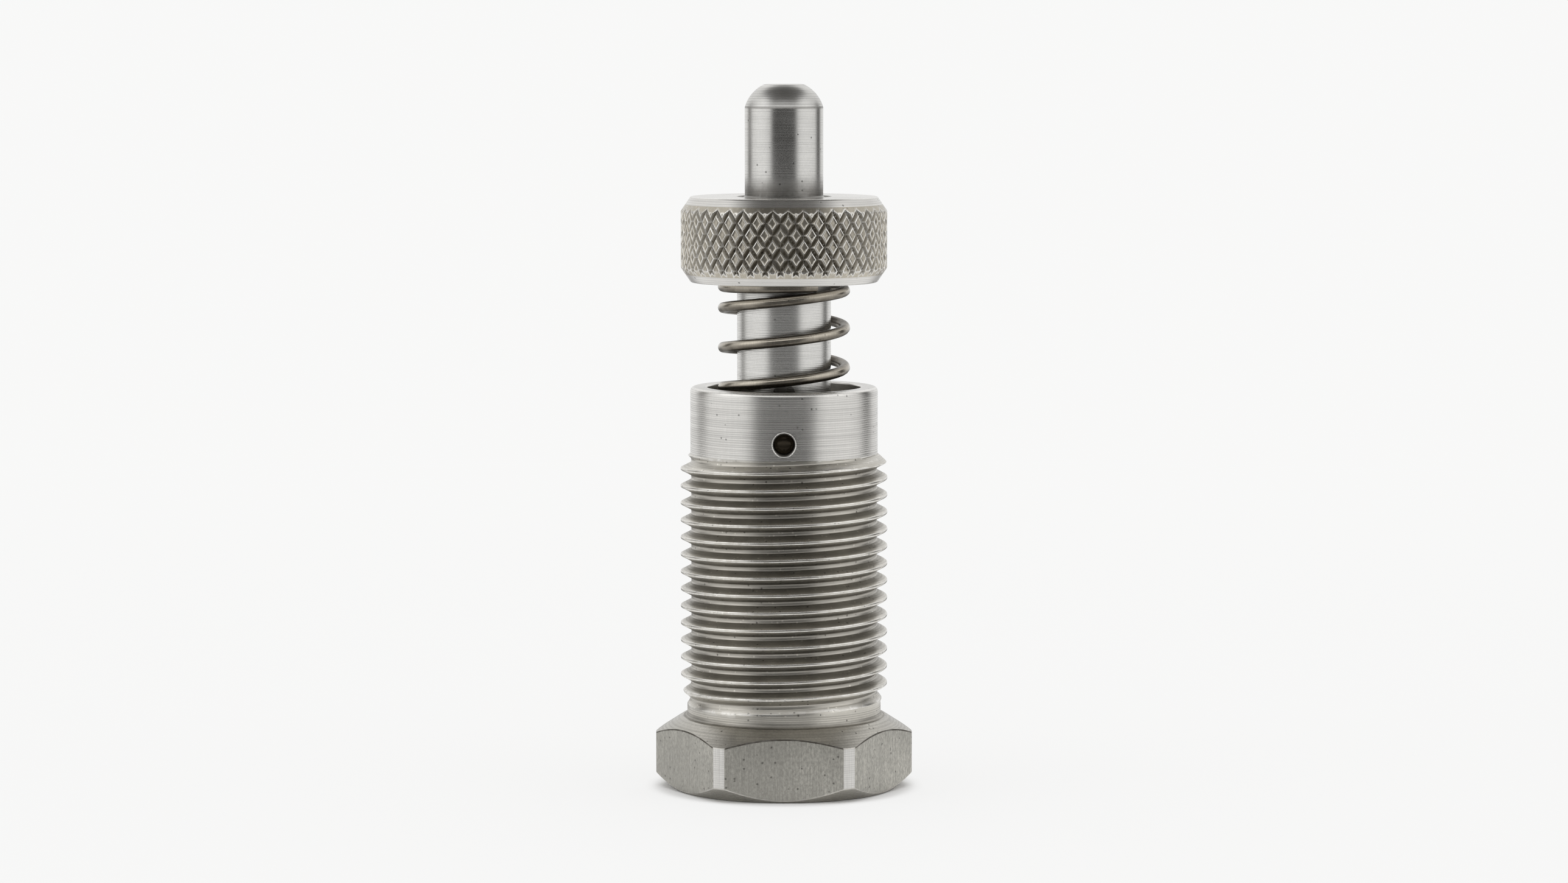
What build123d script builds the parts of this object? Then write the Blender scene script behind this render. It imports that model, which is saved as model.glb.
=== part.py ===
"""Indexing plunger: a sprung pin with a knurled knob, guided in a threaded body with a hexagon foot."""

import os
from math import cos, pi, radians, sin, tan

from build123d import *

# Everything is turned about Z. The foot stands on Z = 0 and the plunger points up.
# The cross hole faces the front, along -Y. Lengths are millimetres, angles are degrees.

# Hexagon foot
hex_across_flats = 20.0
hex_turned_diameter = 22.4
hex_height = 6.2
foot_face_diameter = 19.5
foot_chamfer_height = 1.2
shoulder_diameter = 17.9
shoulder_chamfer_height = 1.45

# Neck between foot and thread
neck_diameter = 16.9
neck_length = 1.3
neck_flare = 0.4
thread_lead_height = 1.5

# Crest cylinder of the external thread, M18 x 1.5, right-hand
thread_diameter = 18.0
thread_length = 21.7
thread_start_chamfer = 0.8

# Plain collar above the thread
collar_diameter = 16.3
collar_length = 5.8
collar_chamfer = 0.4

# Spring pocket and guide bore
pocket_diameter = 13.4
pocket_depth = 2.3
guide_clearance = 0.04
guide_bore_depth = 26.0
drill_point_angle = 118.0

# Cross hole with its retaining pin
cross_hole_below_rim = 4.4
cross_hole_chamfer = 0.18
retaining_pin_diameter = 1.8
retaining_pin_recess = 0.8
retaining_pin_chamfer = 0.3

# Plunger
stem_diameter = 8.16
stem_length = 30.0
stem_end_chamfer = 0.6
stroke = 4.0
stop_gap = 0.05
slot_depth = 1.3
slot_side_clearance = 0.1
slot_floor_clearance = 0.2
knob_seat_diameter = 7.4
nose_diameter = 6.8
nose_length = 9.7
nose_root_above_knob = 0.1
nose_tip_diameter = 3.3
nose_taper_height = 2.0
nose_taper_bulge = 0.3

# Knurled knob
knob_gap = 9.1
knob_height = 7.4
knob_diameter = 17.9
knob_face_diameter = 16.2
knob_chamfer_height = 1.25
knob_bore_chamfer = 0.3
knurl_count = 42
knurl_rise = 2.2
knurl_depth = 0.45

# Return spring
wire_diameter = 0.9
spring_mean_diameter = 10.6
spring_turns = 4.67
spring_closed_turns = 0.7
spring_blend_turns = 0.4
spring_closed_pitch = 0.62
spring_grind_depth = 0.25
spring_tip_angle = -59.0
spring_points_per_turn = 12
wire_flat_count = 8

# Heights that follow from the sizes above
neck_top_height = hex_height + neck_length
thread_top_height = neck_top_height + thread_length
rim_height = thread_top_height + collar_length
pocket_floor_height = rim_height - pocket_depth
cross_hole_height = rim_height - cross_hole_below_rim
knob_bottom_height = rim_height + knob_gap
knob_top_height = knob_bottom_height + knob_height
nose_top_height = knob_top_height + nose_length
stem_end_height = knob_bottom_height - stem_length


# Threaded body: hexagon bar, turned, bored and threaded

hex_radius = hex_turned_diameter / 2
collar_radius = collar_diameter / 2
neck_radius = neck_diameter / 2
crest_radius = thread_diameter / 2
guide_radius = stem_diameter / 2 + guide_clearance
drill_point_height = guide_radius / tan(radians(drill_point_angle / 2))

with BuildPart() as threaded_body:
    with BuildSketch():
        RegularPolygon(hex_across_flats / 2, 6, major_radius=False)
        Circle(hex_radius, mode=Mode.INTERSECT)
    extrude(amount=hex_height)
    # Both faces of the hexagon are chamfered on the lathe
    with BuildSketch(Plane.XZ):
        with BuildLine():
            Polyline(
                (0, 0),
                (foot_face_diameter / 2, 0),
                (hex_radius, foot_chamfer_height),
                (hex_radius, hex_height - shoulder_chamfer_height),
                (shoulder_diameter / 2, hex_height),
                (0, hex_height),
                close=True,
            )
        make_face()
    revolve(axis=Axis.Z, mode=Mode.INTERSECT)
    # Neck, thread blank and collar
    with BuildSketch(Plane.XZ):
        with BuildLine():
            Polyline(
                (0, hex_height / 2),
                (neck_radius + neck_flare, hex_height / 2),
                (neck_radius + neck_flare, hex_height),
                (neck_radius, hex_height + neck_flare),
                (neck_radius, neck_top_height),
                (crest_radius, neck_top_height + thread_lead_height),
                (crest_radius, thread_top_height - thread_start_chamfer),
                (collar_radius, thread_top_height),
                (collar_radius, rim_height),
                (0, rim_height),
                close=True,
            )
        make_face()
    revolve(axis=Axis.Z)
    rim_corner = threaded_body.edges().filter_by(GeomType.CIRCLE).sort_by(Axis.Z)[-1]
    chamfer(rim_corner, length=collar_chamfer)
    # Spring pocket, and the guide bore with the cone that its drill leaves
    with Locations((0, 0, rim_height)):
        CounterBoreHole(
            radius=guide_radius,
            counter_bore_radius=pocket_diameter / 2,
            counter_bore_depth=pocket_depth,
            depth=guide_bore_depth,
        )
    with Locations((0, 0, rim_height - guide_bore_depth)):
        Cone(
            bottom_radius=0,
            top_radius=guide_radius,
            height=drill_point_height,
            align=(Align.CENTER, Align.CENTER, Align.MAX),
            mode=Mode.SUBTRACT,
        )
    # Cross hole through the front wall, into the guide bore
    with Locations(Plane.XZ.offset(collar_radius) * Location((0, cross_hole_height, 0))):
        CounterSinkHole(
            radius=retaining_pin_diameter / 2,
            counter_sink_radius=retaining_pin_diameter / 2 + cross_hole_chamfer,
            depth=collar_radius,
            counter_sink_angle=90,
        )

threaded_body.part.label = "threaded_body"


# Retaining pin: pressed into the cross hole, its inner end runs in the stem's slot

slot_floor = stem_diameter / 2 - slot_depth

with BuildPart() as retaining_pin:
    with BuildSketch(Plane.XZ.offset(slot_floor + slot_floor_clearance)):
        with Locations((0, cross_hole_height)):
            Circle(retaining_pin_diameter / 2)
    extrude(amount=collar_radius - retaining_pin_recess - slot_floor - slot_floor_clearance)
    chamfer(retaining_pin.edges().filter_by(GeomType.CIRCLE), length=retaining_pin_chamfer)

retaining_pin.part.label = "retaining_pin"


# Plunger pin: nose, seat for the knob, shoulder and stem in one turned piece

stem_radius = stem_diameter / 2
seat_radius = knob_seat_diameter / 2
nose_radius = nose_diameter / 2
nose_taper_start = nose_top_height - nose_taper_height
seat_top_height = knob_top_height - knob_bore_chamfer
nose_root_height = knob_top_height + nose_root_above_knob

slot_width = retaining_pin_diameter + 2 * slot_side_clearance
slot_travel = stroke + 2 * stop_gap + retaining_pin_diameter - slot_width
slot_middle_height = cross_hole_height + stroke / 2

with BuildPart() as plunger_pin:
    with BuildSketch(Plane.XZ):
        with BuildLine():
            Polyline(
                (0, nose_top_height),
                (0, stem_end_height),
                (stem_radius - stem_end_chamfer, stem_end_height),
                (stem_radius, stem_end_height + stem_end_chamfer),
                (stem_radius, knob_bottom_height),
                (seat_radius, knob_bottom_height),
                (seat_radius, seat_top_height),
                (nose_radius, nose_root_height),
                (nose_radius, nose_taper_start),
            )
            SagittaArc(
                (nose_radius, nose_taper_start),
                (nose_tip_diameter / 2, nose_top_height),
                -nose_taper_bulge,
            )
            Line((nose_tip_diameter / 2, nose_top_height), (0, nose_top_height))
        make_face()
    revolve(axis=Axis.Z)
    # Milled slot that the retaining pin runs in
    with BuildSketch(Plane.XZ.offset(slot_floor)):
        with Locations((0, slot_middle_height)):
            SlotCenterToCenter(slot_travel, slot_width, rotation=90)
    extrude(amount=slot_depth * 2, mode=Mode.SUBTRACT)

plunger_pin.part.label = "plunger_pin"


# Knurled knob: rows of diamonds between two helical sets of grooves, then turned chamfers

knob_radius = knob_diameter / 2
knurl_root_radius = knob_radius - knurl_depth
knurl_rows = round(2 * knob_height / knurl_rise)
knurl_row_height = knob_height / knurl_rows
knurl_step = pi / knurl_count


def knurl_point(column, row):
    """Corner of the knurling: a diamond's peak where column + row is even, or else a groove crossing."""
    radius = knob_radius if (column + row) % 2 == 0 else knurl_root_radius
    angle = column * knurl_step
    return (radius * cos(angle), radius * sin(angle), knob_bottom_height + row * knurl_row_height)


def knurl_faces():
    """Flanks of all the diamonds, two triangles to each cell of the grid of peaks and crossings."""
    faces = []
    for row in range(knurl_rows):
        for column in range(2 * knurl_count):
            a = knurl_point(column, row)
            b = knurl_point(column + 1, row)
            c = knurl_point(column + 1, row + 1)
            d = knurl_point(column, row + 1)
            if (column + row) % 2 == 0:
                corners = ((a, b, d), (c, d, b))
            else:
                corners = ((b, c, a), (d, a, c))
            faces += [Face(Wire.make_polygon(triangle)) for triangle in corners]
    return faces


def knurl_end(row):
    """Flat end of the knurled blank."""
    return Face(Wire.make_polygon([knurl_point(column, row) for column in range(2 * knurl_count)]))


knurled_ring = Solid(Shell(knurl_faces() + [knurl_end(0), knurl_end(knurl_rows)]))

# The chamfers are two cones that meet at mid-height, in as many flats as the knurling has columns
knob_middle_height = knob_bottom_height + knob_height / 2
chamfer_slope = (knob_diameter - knob_face_diameter) / 2 / knob_chamfer_height
chamfer_middle_radius = knob_face_diameter / 2 + chamfer_slope * knob_height / 2

with BuildPart() as chamfer_envelope:
    for height, radius in (
        (knob_bottom_height, knob_face_diameter / 2),
        (knob_middle_height, chamfer_middle_radius),
        (knob_top_height, knob_face_diameter / 2),
    ):
        with BuildSketch(Plane.XY.offset(height)):
            RegularPolygon(radius, 2 * knurl_count)
    loft(ruled=True)

with BuildPart() as knurled_knob:
    add(knurled_ring)
    add(chamfer_envelope.part, mode=Mode.INTERSECT)
    with Locations((0, 0, knob_top_height)):
        Hole(radius=seat_radius)
    bore_edges = knurled_knob.faces().sort_by(Axis.Z)[-1].inner_wires()[0].edges()
    chamfer(bore_edges, length=knob_bore_chamfer)

knurled_knob.part.label = "knurled_knob"


# Return spring: right-hand, closed and ground at both ends

spring_rise = knob_bottom_height - pocket_floor_height - wire_diameter + 2 * spring_grind_depth
spring_open_pitch = (
    spring_rise - spring_closed_pitch * (2 * spring_closed_turns + spring_blend_turns)
) / (spring_turns - 2 * spring_closed_turns - spring_blend_turns)


def rise_from_end(turns):
    """Height of the wire's centre above its own end, in the half of the spring at that end."""
    extra_pitch = spring_open_pitch - spring_closed_pitch
    blend = (turns - spring_closed_turns) / spring_blend_turns
    if blend <= 0:
        extra_turns = 0
    elif blend < 1:
        extra_turns = spring_blend_turns * (blend**3 - blend**4 / 2)
    else:
        extra_turns = spring_blend_turns * (blend - 0.5)
    return spring_closed_pitch * turns + extra_pitch * extra_turns


def wire_centre(turns):
    """Point on the wire's centre line, counted in turns from the lower end."""
    if turns <= spring_turns / 2:
        rise = rise_from_end(turns)
    else:
        rise = spring_rise - rise_from_end(spring_turns - turns)
    angle = radians(spring_tip_angle - 360 * (spring_turns - turns))
    height = pocket_floor_height + wire_diameter / 2 - spring_grind_depth + rise
    radius = spring_mean_diameter / 2
    return (radius * cos(angle), radius * sin(angle), height)


spring_point_count = round(spring_turns * spring_points_per_turn)

with BuildPart() as return_spring:
    with BuildLine() as wire_path:
        Spline(*[
            wire_centre(spring_turns * index / spring_point_count)
            for index in range(spring_point_count + 1)
        ])
    with BuildSketch(Plane(wire_path.line @ 0, z_dir=wire_path.line % 0)):
        RegularPolygon(wire_diameter / 2, wire_flat_count)
    sweep(path=wire_path.wire(), is_frenet=True)
    # Both ends are ground flat to the spring's fitted length
    with BuildSketch(Plane.XY.offset(pocket_floor_height)):
        Circle(spring_mean_diameter / 2 + wire_diameter)
    extrude(amount=knob_bottom_height - pocket_floor_height, mode=Mode.INTERSECT)

return_spring.part.label = "return_spring"


os.makedirs("parts", exist_ok=True)
export_step(threaded_body.part, "parts/threaded_body.step")
export_step(retaining_pin.part, "parts/retaining_pin.step")
export_step(plunger_pin.part, "parts/plunger_pin.step")
export_step(knurled_knob.part, "parts/knurled_knob.step")
export_step(return_spring.part, "parts/return_spring.step")
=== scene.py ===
"""Indexing plunger, dressed for its photograph: turned steel body, plunger pin, knurled knob, spring and dowel."""

import math

import bpy
import numpy as np
from bpy.props import FloatProperty, FloatVectorProperty, IntProperty, PointerProperty
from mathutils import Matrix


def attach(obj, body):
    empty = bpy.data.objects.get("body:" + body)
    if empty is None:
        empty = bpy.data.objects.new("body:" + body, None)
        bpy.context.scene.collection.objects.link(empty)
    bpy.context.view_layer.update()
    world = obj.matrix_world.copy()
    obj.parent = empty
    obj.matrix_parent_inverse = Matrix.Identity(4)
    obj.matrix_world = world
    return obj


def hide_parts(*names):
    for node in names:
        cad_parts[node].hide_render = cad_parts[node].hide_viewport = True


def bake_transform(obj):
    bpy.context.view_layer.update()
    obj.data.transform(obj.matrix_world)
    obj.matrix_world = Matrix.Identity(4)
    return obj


bl_info = {
    "name": "Indexing plunger",
    "version": (1, 0, 0),
    "blender": (4, 5, 0),
    "location": "View3D > Sidebar > Plunger",
    "description": "Builds the dressed pieces of an indexing plunger and the studio they stand in",
    "category": "Object",
}

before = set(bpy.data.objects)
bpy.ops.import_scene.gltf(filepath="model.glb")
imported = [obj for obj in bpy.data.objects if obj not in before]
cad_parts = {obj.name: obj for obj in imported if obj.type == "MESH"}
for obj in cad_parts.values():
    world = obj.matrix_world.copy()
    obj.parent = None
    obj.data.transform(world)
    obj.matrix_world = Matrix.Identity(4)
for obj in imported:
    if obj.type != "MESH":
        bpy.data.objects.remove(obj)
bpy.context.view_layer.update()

MM = 0.001


# ---------------------------------------------------------------------------
# Sizes, finishes and studio, as a user would change them
# ---------------------------------------------------------------------------


def length(name, description, millimetres):
    """A length property, given in millimetres and kept in metres."""
    return FloatProperty(
        name=name, description=description, default=millimetres * MM, min=0.0, precision=5, unit="LENGTH"
    )


def share(name, description, value):
    """A share from 0 to 1."""
    return FloatProperty(name=name, description=description, default=value, min=0.0, max=1.0, subtype="FACTOR")


def colour(name, description, value):
    """A colour, in linear light."""
    return FloatVectorProperty(
        name=name, description=description, default=value, size=3, min=0.0, max=1.0, subtype="COLOR"
    )


class BodySizes(bpy.types.PropertyGroup):
    """Sizes of the threaded body."""

    across_flats: length("Across flats", "Width of the hexagon between two flats", 20.0)
    turned_diameter: length("Turned diameter", "Diameter that the hexagon's corners are turned to", 22.4)
    hex_height: length("Hexagon height", "Height of the hexagon foot", 6.2)
    foot_face: length("Foot face", "Diameter of the flat face the plunger stands on", 19.5)
    foot_chamfer: length("Foot chamfer", "Height of the chamfer under the hexagon", 1.2)
    shoulder_face: length("Shoulder face", "Diameter of the flat ring on top of the hexagon", 17.9)
    shoulder_chamfer: length("Shoulder chamfer", "Height of the chamfer on top of the hexagon", 1.45)
    neck_diameter: length("Neck diameter", "Diameter of the plain neck under the thread", 16.9)
    neck_fillet: length("Neck fillet", "Radius of the hollow where the neck meets the hexagon", 0.4)
    thread_bottom: length("Thread bottom", "Height where the thread has run out", 7.25)
    thread_lead: length("Thread lead", "Height where the blank starts to widen to the thread", 7.5)
    thread_top: length("Thread top", "Height where the thread starts, at its chamfer", 29.2)
    thread_diameter: length("Thread diameter", "Diameter over the thread's crests", 18.0)
    thread_pitch: length("Thread pitch", "Rise of the thread in one turn", 1.5)
    thread_depth: length("Thread depth", "Depth of the thread from crest to root", 0.92)
    thread_crest: length("Thread crest height", "Height of a crest on the left, at -X", 12.85)
    thread_chamfer: length("Thread start chamfer", "Height of the chamfer at the thread's start", 0.8)
    run_out: length("Thread run-out", "Height over which the thread fades into the neck", 2.4)
    collar_diameter: length("Collar diameter", "Diameter of the plain collar", 16.3)
    rim_height: length("Rim height", "Height of the collar's rim", 35.0)
    rim_round: length("Rim round", "Reach of the rounded outer edge of the rim", 0.42)
    pocket_diameter: length("Pocket diameter", "Diameter of the spring pocket", 13.4)
    pocket_floor: length("Pocket floor", "Height of the floor the spring stands on", 32.7)
    bore_diameter: length("Guide bore", "Diameter of the bore the stem slides in", 8.24)
    bore_bottom: length("Bore bottom", "Height where the guide bore's wall ends", 9.0)
    drill_point: length("Drill point", "Height of the point the drill left", 6.524)
    cross_hole_height: length("Cross hole height", "Height of the cross hole's middle", 30.6)
    cross_hole_diameter: length("Cross hole diameter", "Diameter of the cross hole", 1.8)
    cross_hole_round: length("Cross hole edge", "Reach of the broken edge of the cross hole", 0.17)


class PlungerSizes(bpy.types.PropertyGroup):
    """Sizes of the pieces that move, and of the dowel."""

    stem_diameter: length("Stem diameter", "Diameter of the stem", 8.16)
    stem_bottom: length("Stem bottom", "Height of the stem's lower end", 14.1)
    stem_chamfer: length("Stem end chamfer", "Chamfer of the stem's lower end", 0.6)
    slot_bottom: length("Slot bottom", "Lowest point of the milled slot", 29.65)
    slot_top: length("Slot top", "Highest point of the milled slot", 35.55)
    slot_width: length("Slot width", "Width of the milled slot", 2.0)
    slot_floor: length("Slot floor", "Distance of the slot's floor from the axis", 2.78)
    seat_diameter: length("Seat diameter", "Diameter of the seat the knob is pressed on", 7.4)
    seat_top: length("Seat top", "Height where the seat starts to narrow to the nose", 51.2)
    nose_root: length("Nose root", "Height where the nose has its full width", 51.6)
    nose_diameter: length("Nose diameter", "Diameter of the pin that locks", 6.8)
    nose_tip: length("Nose tip", "Diameter of the flat end of the nose", 3.3)
    nose_taper: length("Nose taper", "Height of the rounded taper of the nose", 2.0)
    nose_bulge: length("Nose bulge", "How far the taper bulges out from a straight cone", 0.3)
    nose_top: length("Nose top", "Height of the end of the nose", 61.2)
    knob_bottom: length("Knob bottom", "Height of the knob's lower face", 44.1)
    knob_top: length("Knob top", "Height of the knob's upper face", 51.5)
    knob_diameter: length("Knob diameter", "Diameter over the knurling", 17.9)
    knob_face: length("Knob face", "Diameter of the knob's flat faces", 16.2)
    knob_chamfer: length("Knob chamfer", "Height of the knob's turned chamfers", 1.25)
    bore_chamfer: length("Knob bore chamfer", "Chamfer of the knob's bore", 0.3)
    knurl_rise: length("Knurl rise", "Height of one diamond of the knurling", 2.046)
    knurl_depth: length("Knurl depth", "Depth of the knurled grooves", 0.27)
    knurl_dimple: length("Knurl dimple", "Depth of the hollow in each diamond", 0.06)
    knurl_height: length("Knurl row height", "Height of the middle of one row of diamonds", 49.5)
    knurl_count: IntProperty(name="Knurl count", description="Diamonds around the knob", default=42, min=12)
    wire_diameter: length("Wire diameter", "Diameter of the spring wire", 0.9)
    coil_diameter: length("Coil diameter", "Mean diameter of the spring", 10.6)
    spring_turns: FloatProperty(name="Spring turns", description="Turns of the spring", default=4.67, min=1.0)
    closed_turns: FloatProperty(name="Closed turns", description="Turns closed at each end", default=0.7, min=0.0)
    blend_turns: FloatProperty(name="Blend turns", description="Turns in which the pitch opens", default=0.4, min=0.1)
    closed_pitch: length("Closed pitch", "Pitch of the closed end coils", 0.62)
    grind_depth: length("Ground depth", "How much of the wire is ground off at each end", 0.25)
    dowel_diameter: length("Dowel diameter", "Diameter of the retaining pin", 1.8)
    dowel_outer: length("Dowel outer end", "Distance of the dowel's outer end from the axis", 7.35)
    dowel_inner: length("Dowel inner end", "Distance of the dowel's inner end from the axis", 2.98)
    dowel_chamfer: length("Dowel chamfer", "Chamfer or dome at the dowel's ends", 0.3)


class SteelFinish(bpy.types.PropertyGroup):
    """Colours and surfaces of the steel."""

    turned: colour("Turned steel", "Steel of the collar, the chamfers and the knob's faces", (0.80, 0.785, 0.755))
    ground: colour("Ground steel", "Steel of the stem and the nose", (0.78, 0.77, 0.745))
    satin: colour("Satin steel", "Steel of the hexagon's flats", (0.50, 0.485, 0.44))
    cut: colour("Cut steel", "Steel of the thread's flanks", (0.60, 0.575, 0.52))
    knurled: colour("Knurled steel", "Steel of the knurling", (0.56, 0.52, 0.44))
    wire: colour("Spring wire", "Steel of the spring wire", (0.58, 0.53, 0.45))
    # The grime colour is also the colour of the painted shade in grooves, hollows and holes
    grime_and_shade: colour("Grime", "Old oil in grooves and corners", (0.05, 0.041, 0.03))
    turned_roughness: share("Turned roughness", "Roughness of turned faces", 0.22)
    ground_roughness: share("Ground roughness", "Roughness of the ground stem and nose", 0.2)
    satin_roughness: share("Satin roughness", "Roughness of the hexagon's flats", 0.36)
    line_spacing: length("Turning line spacing", "Distance between two lines that the tool left", 0.18)
    line_depth: length("Turning line depth", "Depth of the lines that the tool left", 0.0028)


class StudioSetup(bpy.types.PropertyGroup):
    """Camera, lamps and floor."""

    camera_distance: length("Camera distance", "Distance of the camera from the plunger's axis", 395.8)
    camera_height: length("Camera height", "Height of the camera above the floor", 66.2)
    camera_pitch: FloatProperty(
        name="Camera pitch", description="How far the camera looks down", default=math.radians(5.2), subtype="ANGLE"
    )
    camera_lens: FloatProperty(
        name="Camera lens", description="Focal length in millimetres of a 36 mm wide film", default=104.81, min=1.0
    )
    backdrop: colour("Backdrop", "Colour of the backdrop and the floor", (0.94, 0.94, 0.935))
    fill: share("Fill light", "Strength of the light from all around", 0.92)
    lamp_power: FloatProperty(name="Lamp power", description="Power of each side lamp", default=0.3, subtype="POWER")


# ---------------------------------------------------------------------------
# Mesh tools: a piece is gathered ring by ring, then welded into one skin
# ---------------------------------------------------------------------------

WELD = 1e-8


class Skin:
    """Points and faces of one piece, gathered ring by ring."""

    def __init__(self):
        self.points, self.recess, self.faces, self.finish = [], [], [], []
        self.count = 0

    def ring(self, points, recess=0.0):
        """Adds a row of points and returns their numbers. The second value, from 0 to 1, is how dark they are
        painted: painted shade in grooves and hollows, and grime.
        """
        first = self.count
        self.points.append(np.asarray(points, float))
        self.recess.append(np.broadcast_to(np.asarray(recess, float), len(points)))
        self.count += len(points)
        return np.arange(first, self.count)

    def band(self, near, far, finish=0, closed=True, skip=()):
        """Faces between two rows. Skip holds the columns that are left out."""
        last = len(near) if closed else len(near) - 1
        columns = np.setdiff1d(np.arange(last), skip)
        after = (columns + 1) % len(near)
        self.quads(near[columns], near[after], far[after], far[columns], finish)

    def quads(self, a, b, c, d, finish=0):
        """Four-sided faces from four rows of point numbers."""
        self.faces.append(np.stack([a, b, c, d], axis=1))
        self.finish.append(np.full(len(a), finish, np.int32))

    def welded(self):
        """Points, recess, faces and finish with the points that coincide made one."""
        points = np.concatenate(self.points)
        recess = np.concatenate(self.recess)
        faces = np.concatenate(self.faces)
        finish = np.concatenate(self.finish)
        keys = np.round(points / WELD).astype(np.int64)
        _, first, inverse = np.unique(keys, axis=0, return_index=True, return_inverse=True)
        faces = inverse.ravel()[faces]
        points, recess = points[first], recess[first]
        kept, kept_finish = [], []
        for face, number in zip(faces.tolist(), finish.tolist()):
            corners = [p for i, p in enumerate(face) if p != face[i - 1]]
            if len(corners) >= 3 and len(set(corners)) == len(corners):
                kept.append(corners)
                kept_finish.append(number)
        used = np.unique(np.concatenate([np.array(f) for f in kept]))
        renumber = np.full(len(points), -1)
        renumber[used] = np.arange(len(used))
        kept = [[int(renumber[p]) for p in face] for face in kept]
        return points[used], recess[used], kept, kept_finish


def circle(angles, radius, height):
    """Points of a ring round the Z axis. Radius and height are numbers, or one number to each angle."""
    radius = np.broadcast_to(radius, angles.shape)
    height = np.broadcast_to(height, angles.shape)
    return np.stack([radius * np.cos(angles), radius * np.sin(angles), height], axis=1)


def soften(path, reach, steps=4, hold=1.7):
    """Rounds the corners of a turned profile.

    Path is a list of (radius, height), each a number or a row of numbers, and reach says how far from each corner
    the round starts. A ring a little beyond each end of a round keeps the faces next to it flat."""
    columns = max(np.size(part) for point in path for part in point)
    corners = np.array([[np.broadcast_to(part, columns) for part in point] for point in path])
    rows = []
    for i, corner in enumerate(corners):
        if not reach[i] or i in (0, len(corners) - 1):
            rows.append(corner)
            continue
        back, ahead = corners[i - 1] - corner, corners[i + 1] - corner
        back_length = np.hypot(*back)
        ahead_length = np.hypot(*ahead)
        back = back / back_length
        ahead = ahead / ahead_length
        start = corner + back * reach[i]
        end = corner + ahead * reach[i]
        if back_length.min() > reach[i] * (hold + 1):
            rows.append(corner + back * reach[i] * hold)
        for step in range(steps + 1):
            t = step / steps
            rows.append((1 - t) ** 2 * start + 2 * t * (1 - t) * corner + t**2 * end)
        if ahead_length.min() > reach[i] * (hold + 1):
            rows.append(corner + ahead * reach[i] * hold)
    return rows


def smooth_step(value, low, high):
    """0 below low, 1 above high and a smooth rise between them."""
    t = np.clip((value - low) / (high - low), 0.0, 1.0)
    return t * t * (3 - 2 * t)


def mark_edges(mesh):
    """Stores for each point how sharp an outer edge it lies on, from 0 to 1, for wear."""
    loop_edge = np.empty(len(mesh.loops), np.int32)
    mesh.loops.foreach_get("edge_index", loop_edge)
    face_count = len(mesh.polygons)
    corner_count = np.empty(face_count, np.int32)
    mesh.polygons.foreach_get("loop_total", corner_count)
    normal = np.empty(face_count * 3, np.float32)
    middle = np.empty(face_count * 3, np.float32)
    mesh.polygons.foreach_get("normal", normal)
    mesh.polygons.foreach_get("center", middle)
    normal, middle = normal.reshape(-1, 3), middle.reshape(-1, 3)
    ends = np.empty(len(mesh.edges) * 2, np.int32)
    mesh.edges.foreach_get("vertices", ends)
    ends = ends.reshape(-1, 2)
    order = np.argsort(loop_edge, kind="stable")
    face = np.repeat(np.arange(face_count), corner_count)[order]
    edge = loop_edge[order]
    pair = np.nonzero(edge[:-1] == edge[1:])[0]
    one, other = face[pair], face[pair + 1]
    angle = np.arccos(np.clip((normal[one] * normal[other]).sum(1), -1, 1))
    outward = ((middle[other] - middle[one]) * normal[one]).sum(1) < 0
    sharpness = np.where(outward, angle, 0.0)
    value = np.zeros(len(mesh.vertices))
    for side in (0, 1):
        np.maximum.at(value, ends[edge[pair], side], sharpness)
    value = smooth_step(value, math.radians(6), math.radians(24))
    attribute = mesh.attributes.new("edge_wear", "FLOAT", "POINT")
    attribute.data.foreach_set("value", value.astype(np.float32))


def new_piece(name, skin, finishes, sharp_degrees=42.0):
    """Makes a Blender object from a skin, with its finishes in order."""
    points, recess, faces, finish = skin.welded()
    mesh = bpy.data.meshes.new(name)
    mesh.from_pydata(points.tolist(), [], faces)
    mesh.validate()
    for material in finishes:
        mesh.materials.append(material)
    mesh.polygons.foreach_set("material_index", np.array(finish, np.int32))
    mesh.polygons.foreach_set("use_smooth", np.ones(len(mesh.polygons), bool))
    # How dark each point is painted, from painted shade and grime, for the shaders
    attribute = mesh.attributes.new("recess", "FLOAT", "POINT")
    attribute.data.foreach_set("value", recess.astype(np.float32))
    mesh.set_sharp_from_angle(angle=math.radians(sharp_degrees))
    mark_edges(mesh)
    mesh.update()
    piece = bpy.data.objects.new(name, mesh)
    bpy.context.scene.collection.objects.link(piece)
    return piece


def stand_for(piece, node, body):
    """The piece takes the place of a CAD node and rides on its body."""
    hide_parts(node)
    if body:
        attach(piece, body)


# ---------------------------------------------------------------------------
# Shader node groups for the effects that several steels share
# ---------------------------------------------------------------------------


def new_group(name, inputs, outputs):
    """An empty shader node group with named sockets. Inputs are (name, type, default)."""
    group = bpy.data.node_groups.new(name, "ShaderNodeTree")
    for label, kind, default in inputs:
        socket = group.interface.new_socket(name=label, in_out="INPUT", socket_type=kind)
        if default is not None:
            socket.default_value = default
    for label, kind in outputs:
        group.interface.new_socket(name=label, in_out="OUTPUT", socket_type=kind)
    return group, group.nodes.new("NodeGroupInput"), group.nodes.new("NodeGroupOutput")


def node(tree, kind, **settings):
    """Adds a node and sets its properties."""
    made = tree.nodes.new(kind)
    for key, value in settings.items():
        setattr(made, key, value)
    return made


def feed(tree, socket, value):
    """Sets a socket to a constant, or links it to another node's output."""
    if isinstance(value, bpy.types.NodeSocket):
        tree.links.new(value, socket)
    elif value is not None:
        socket.default_value = value


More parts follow.
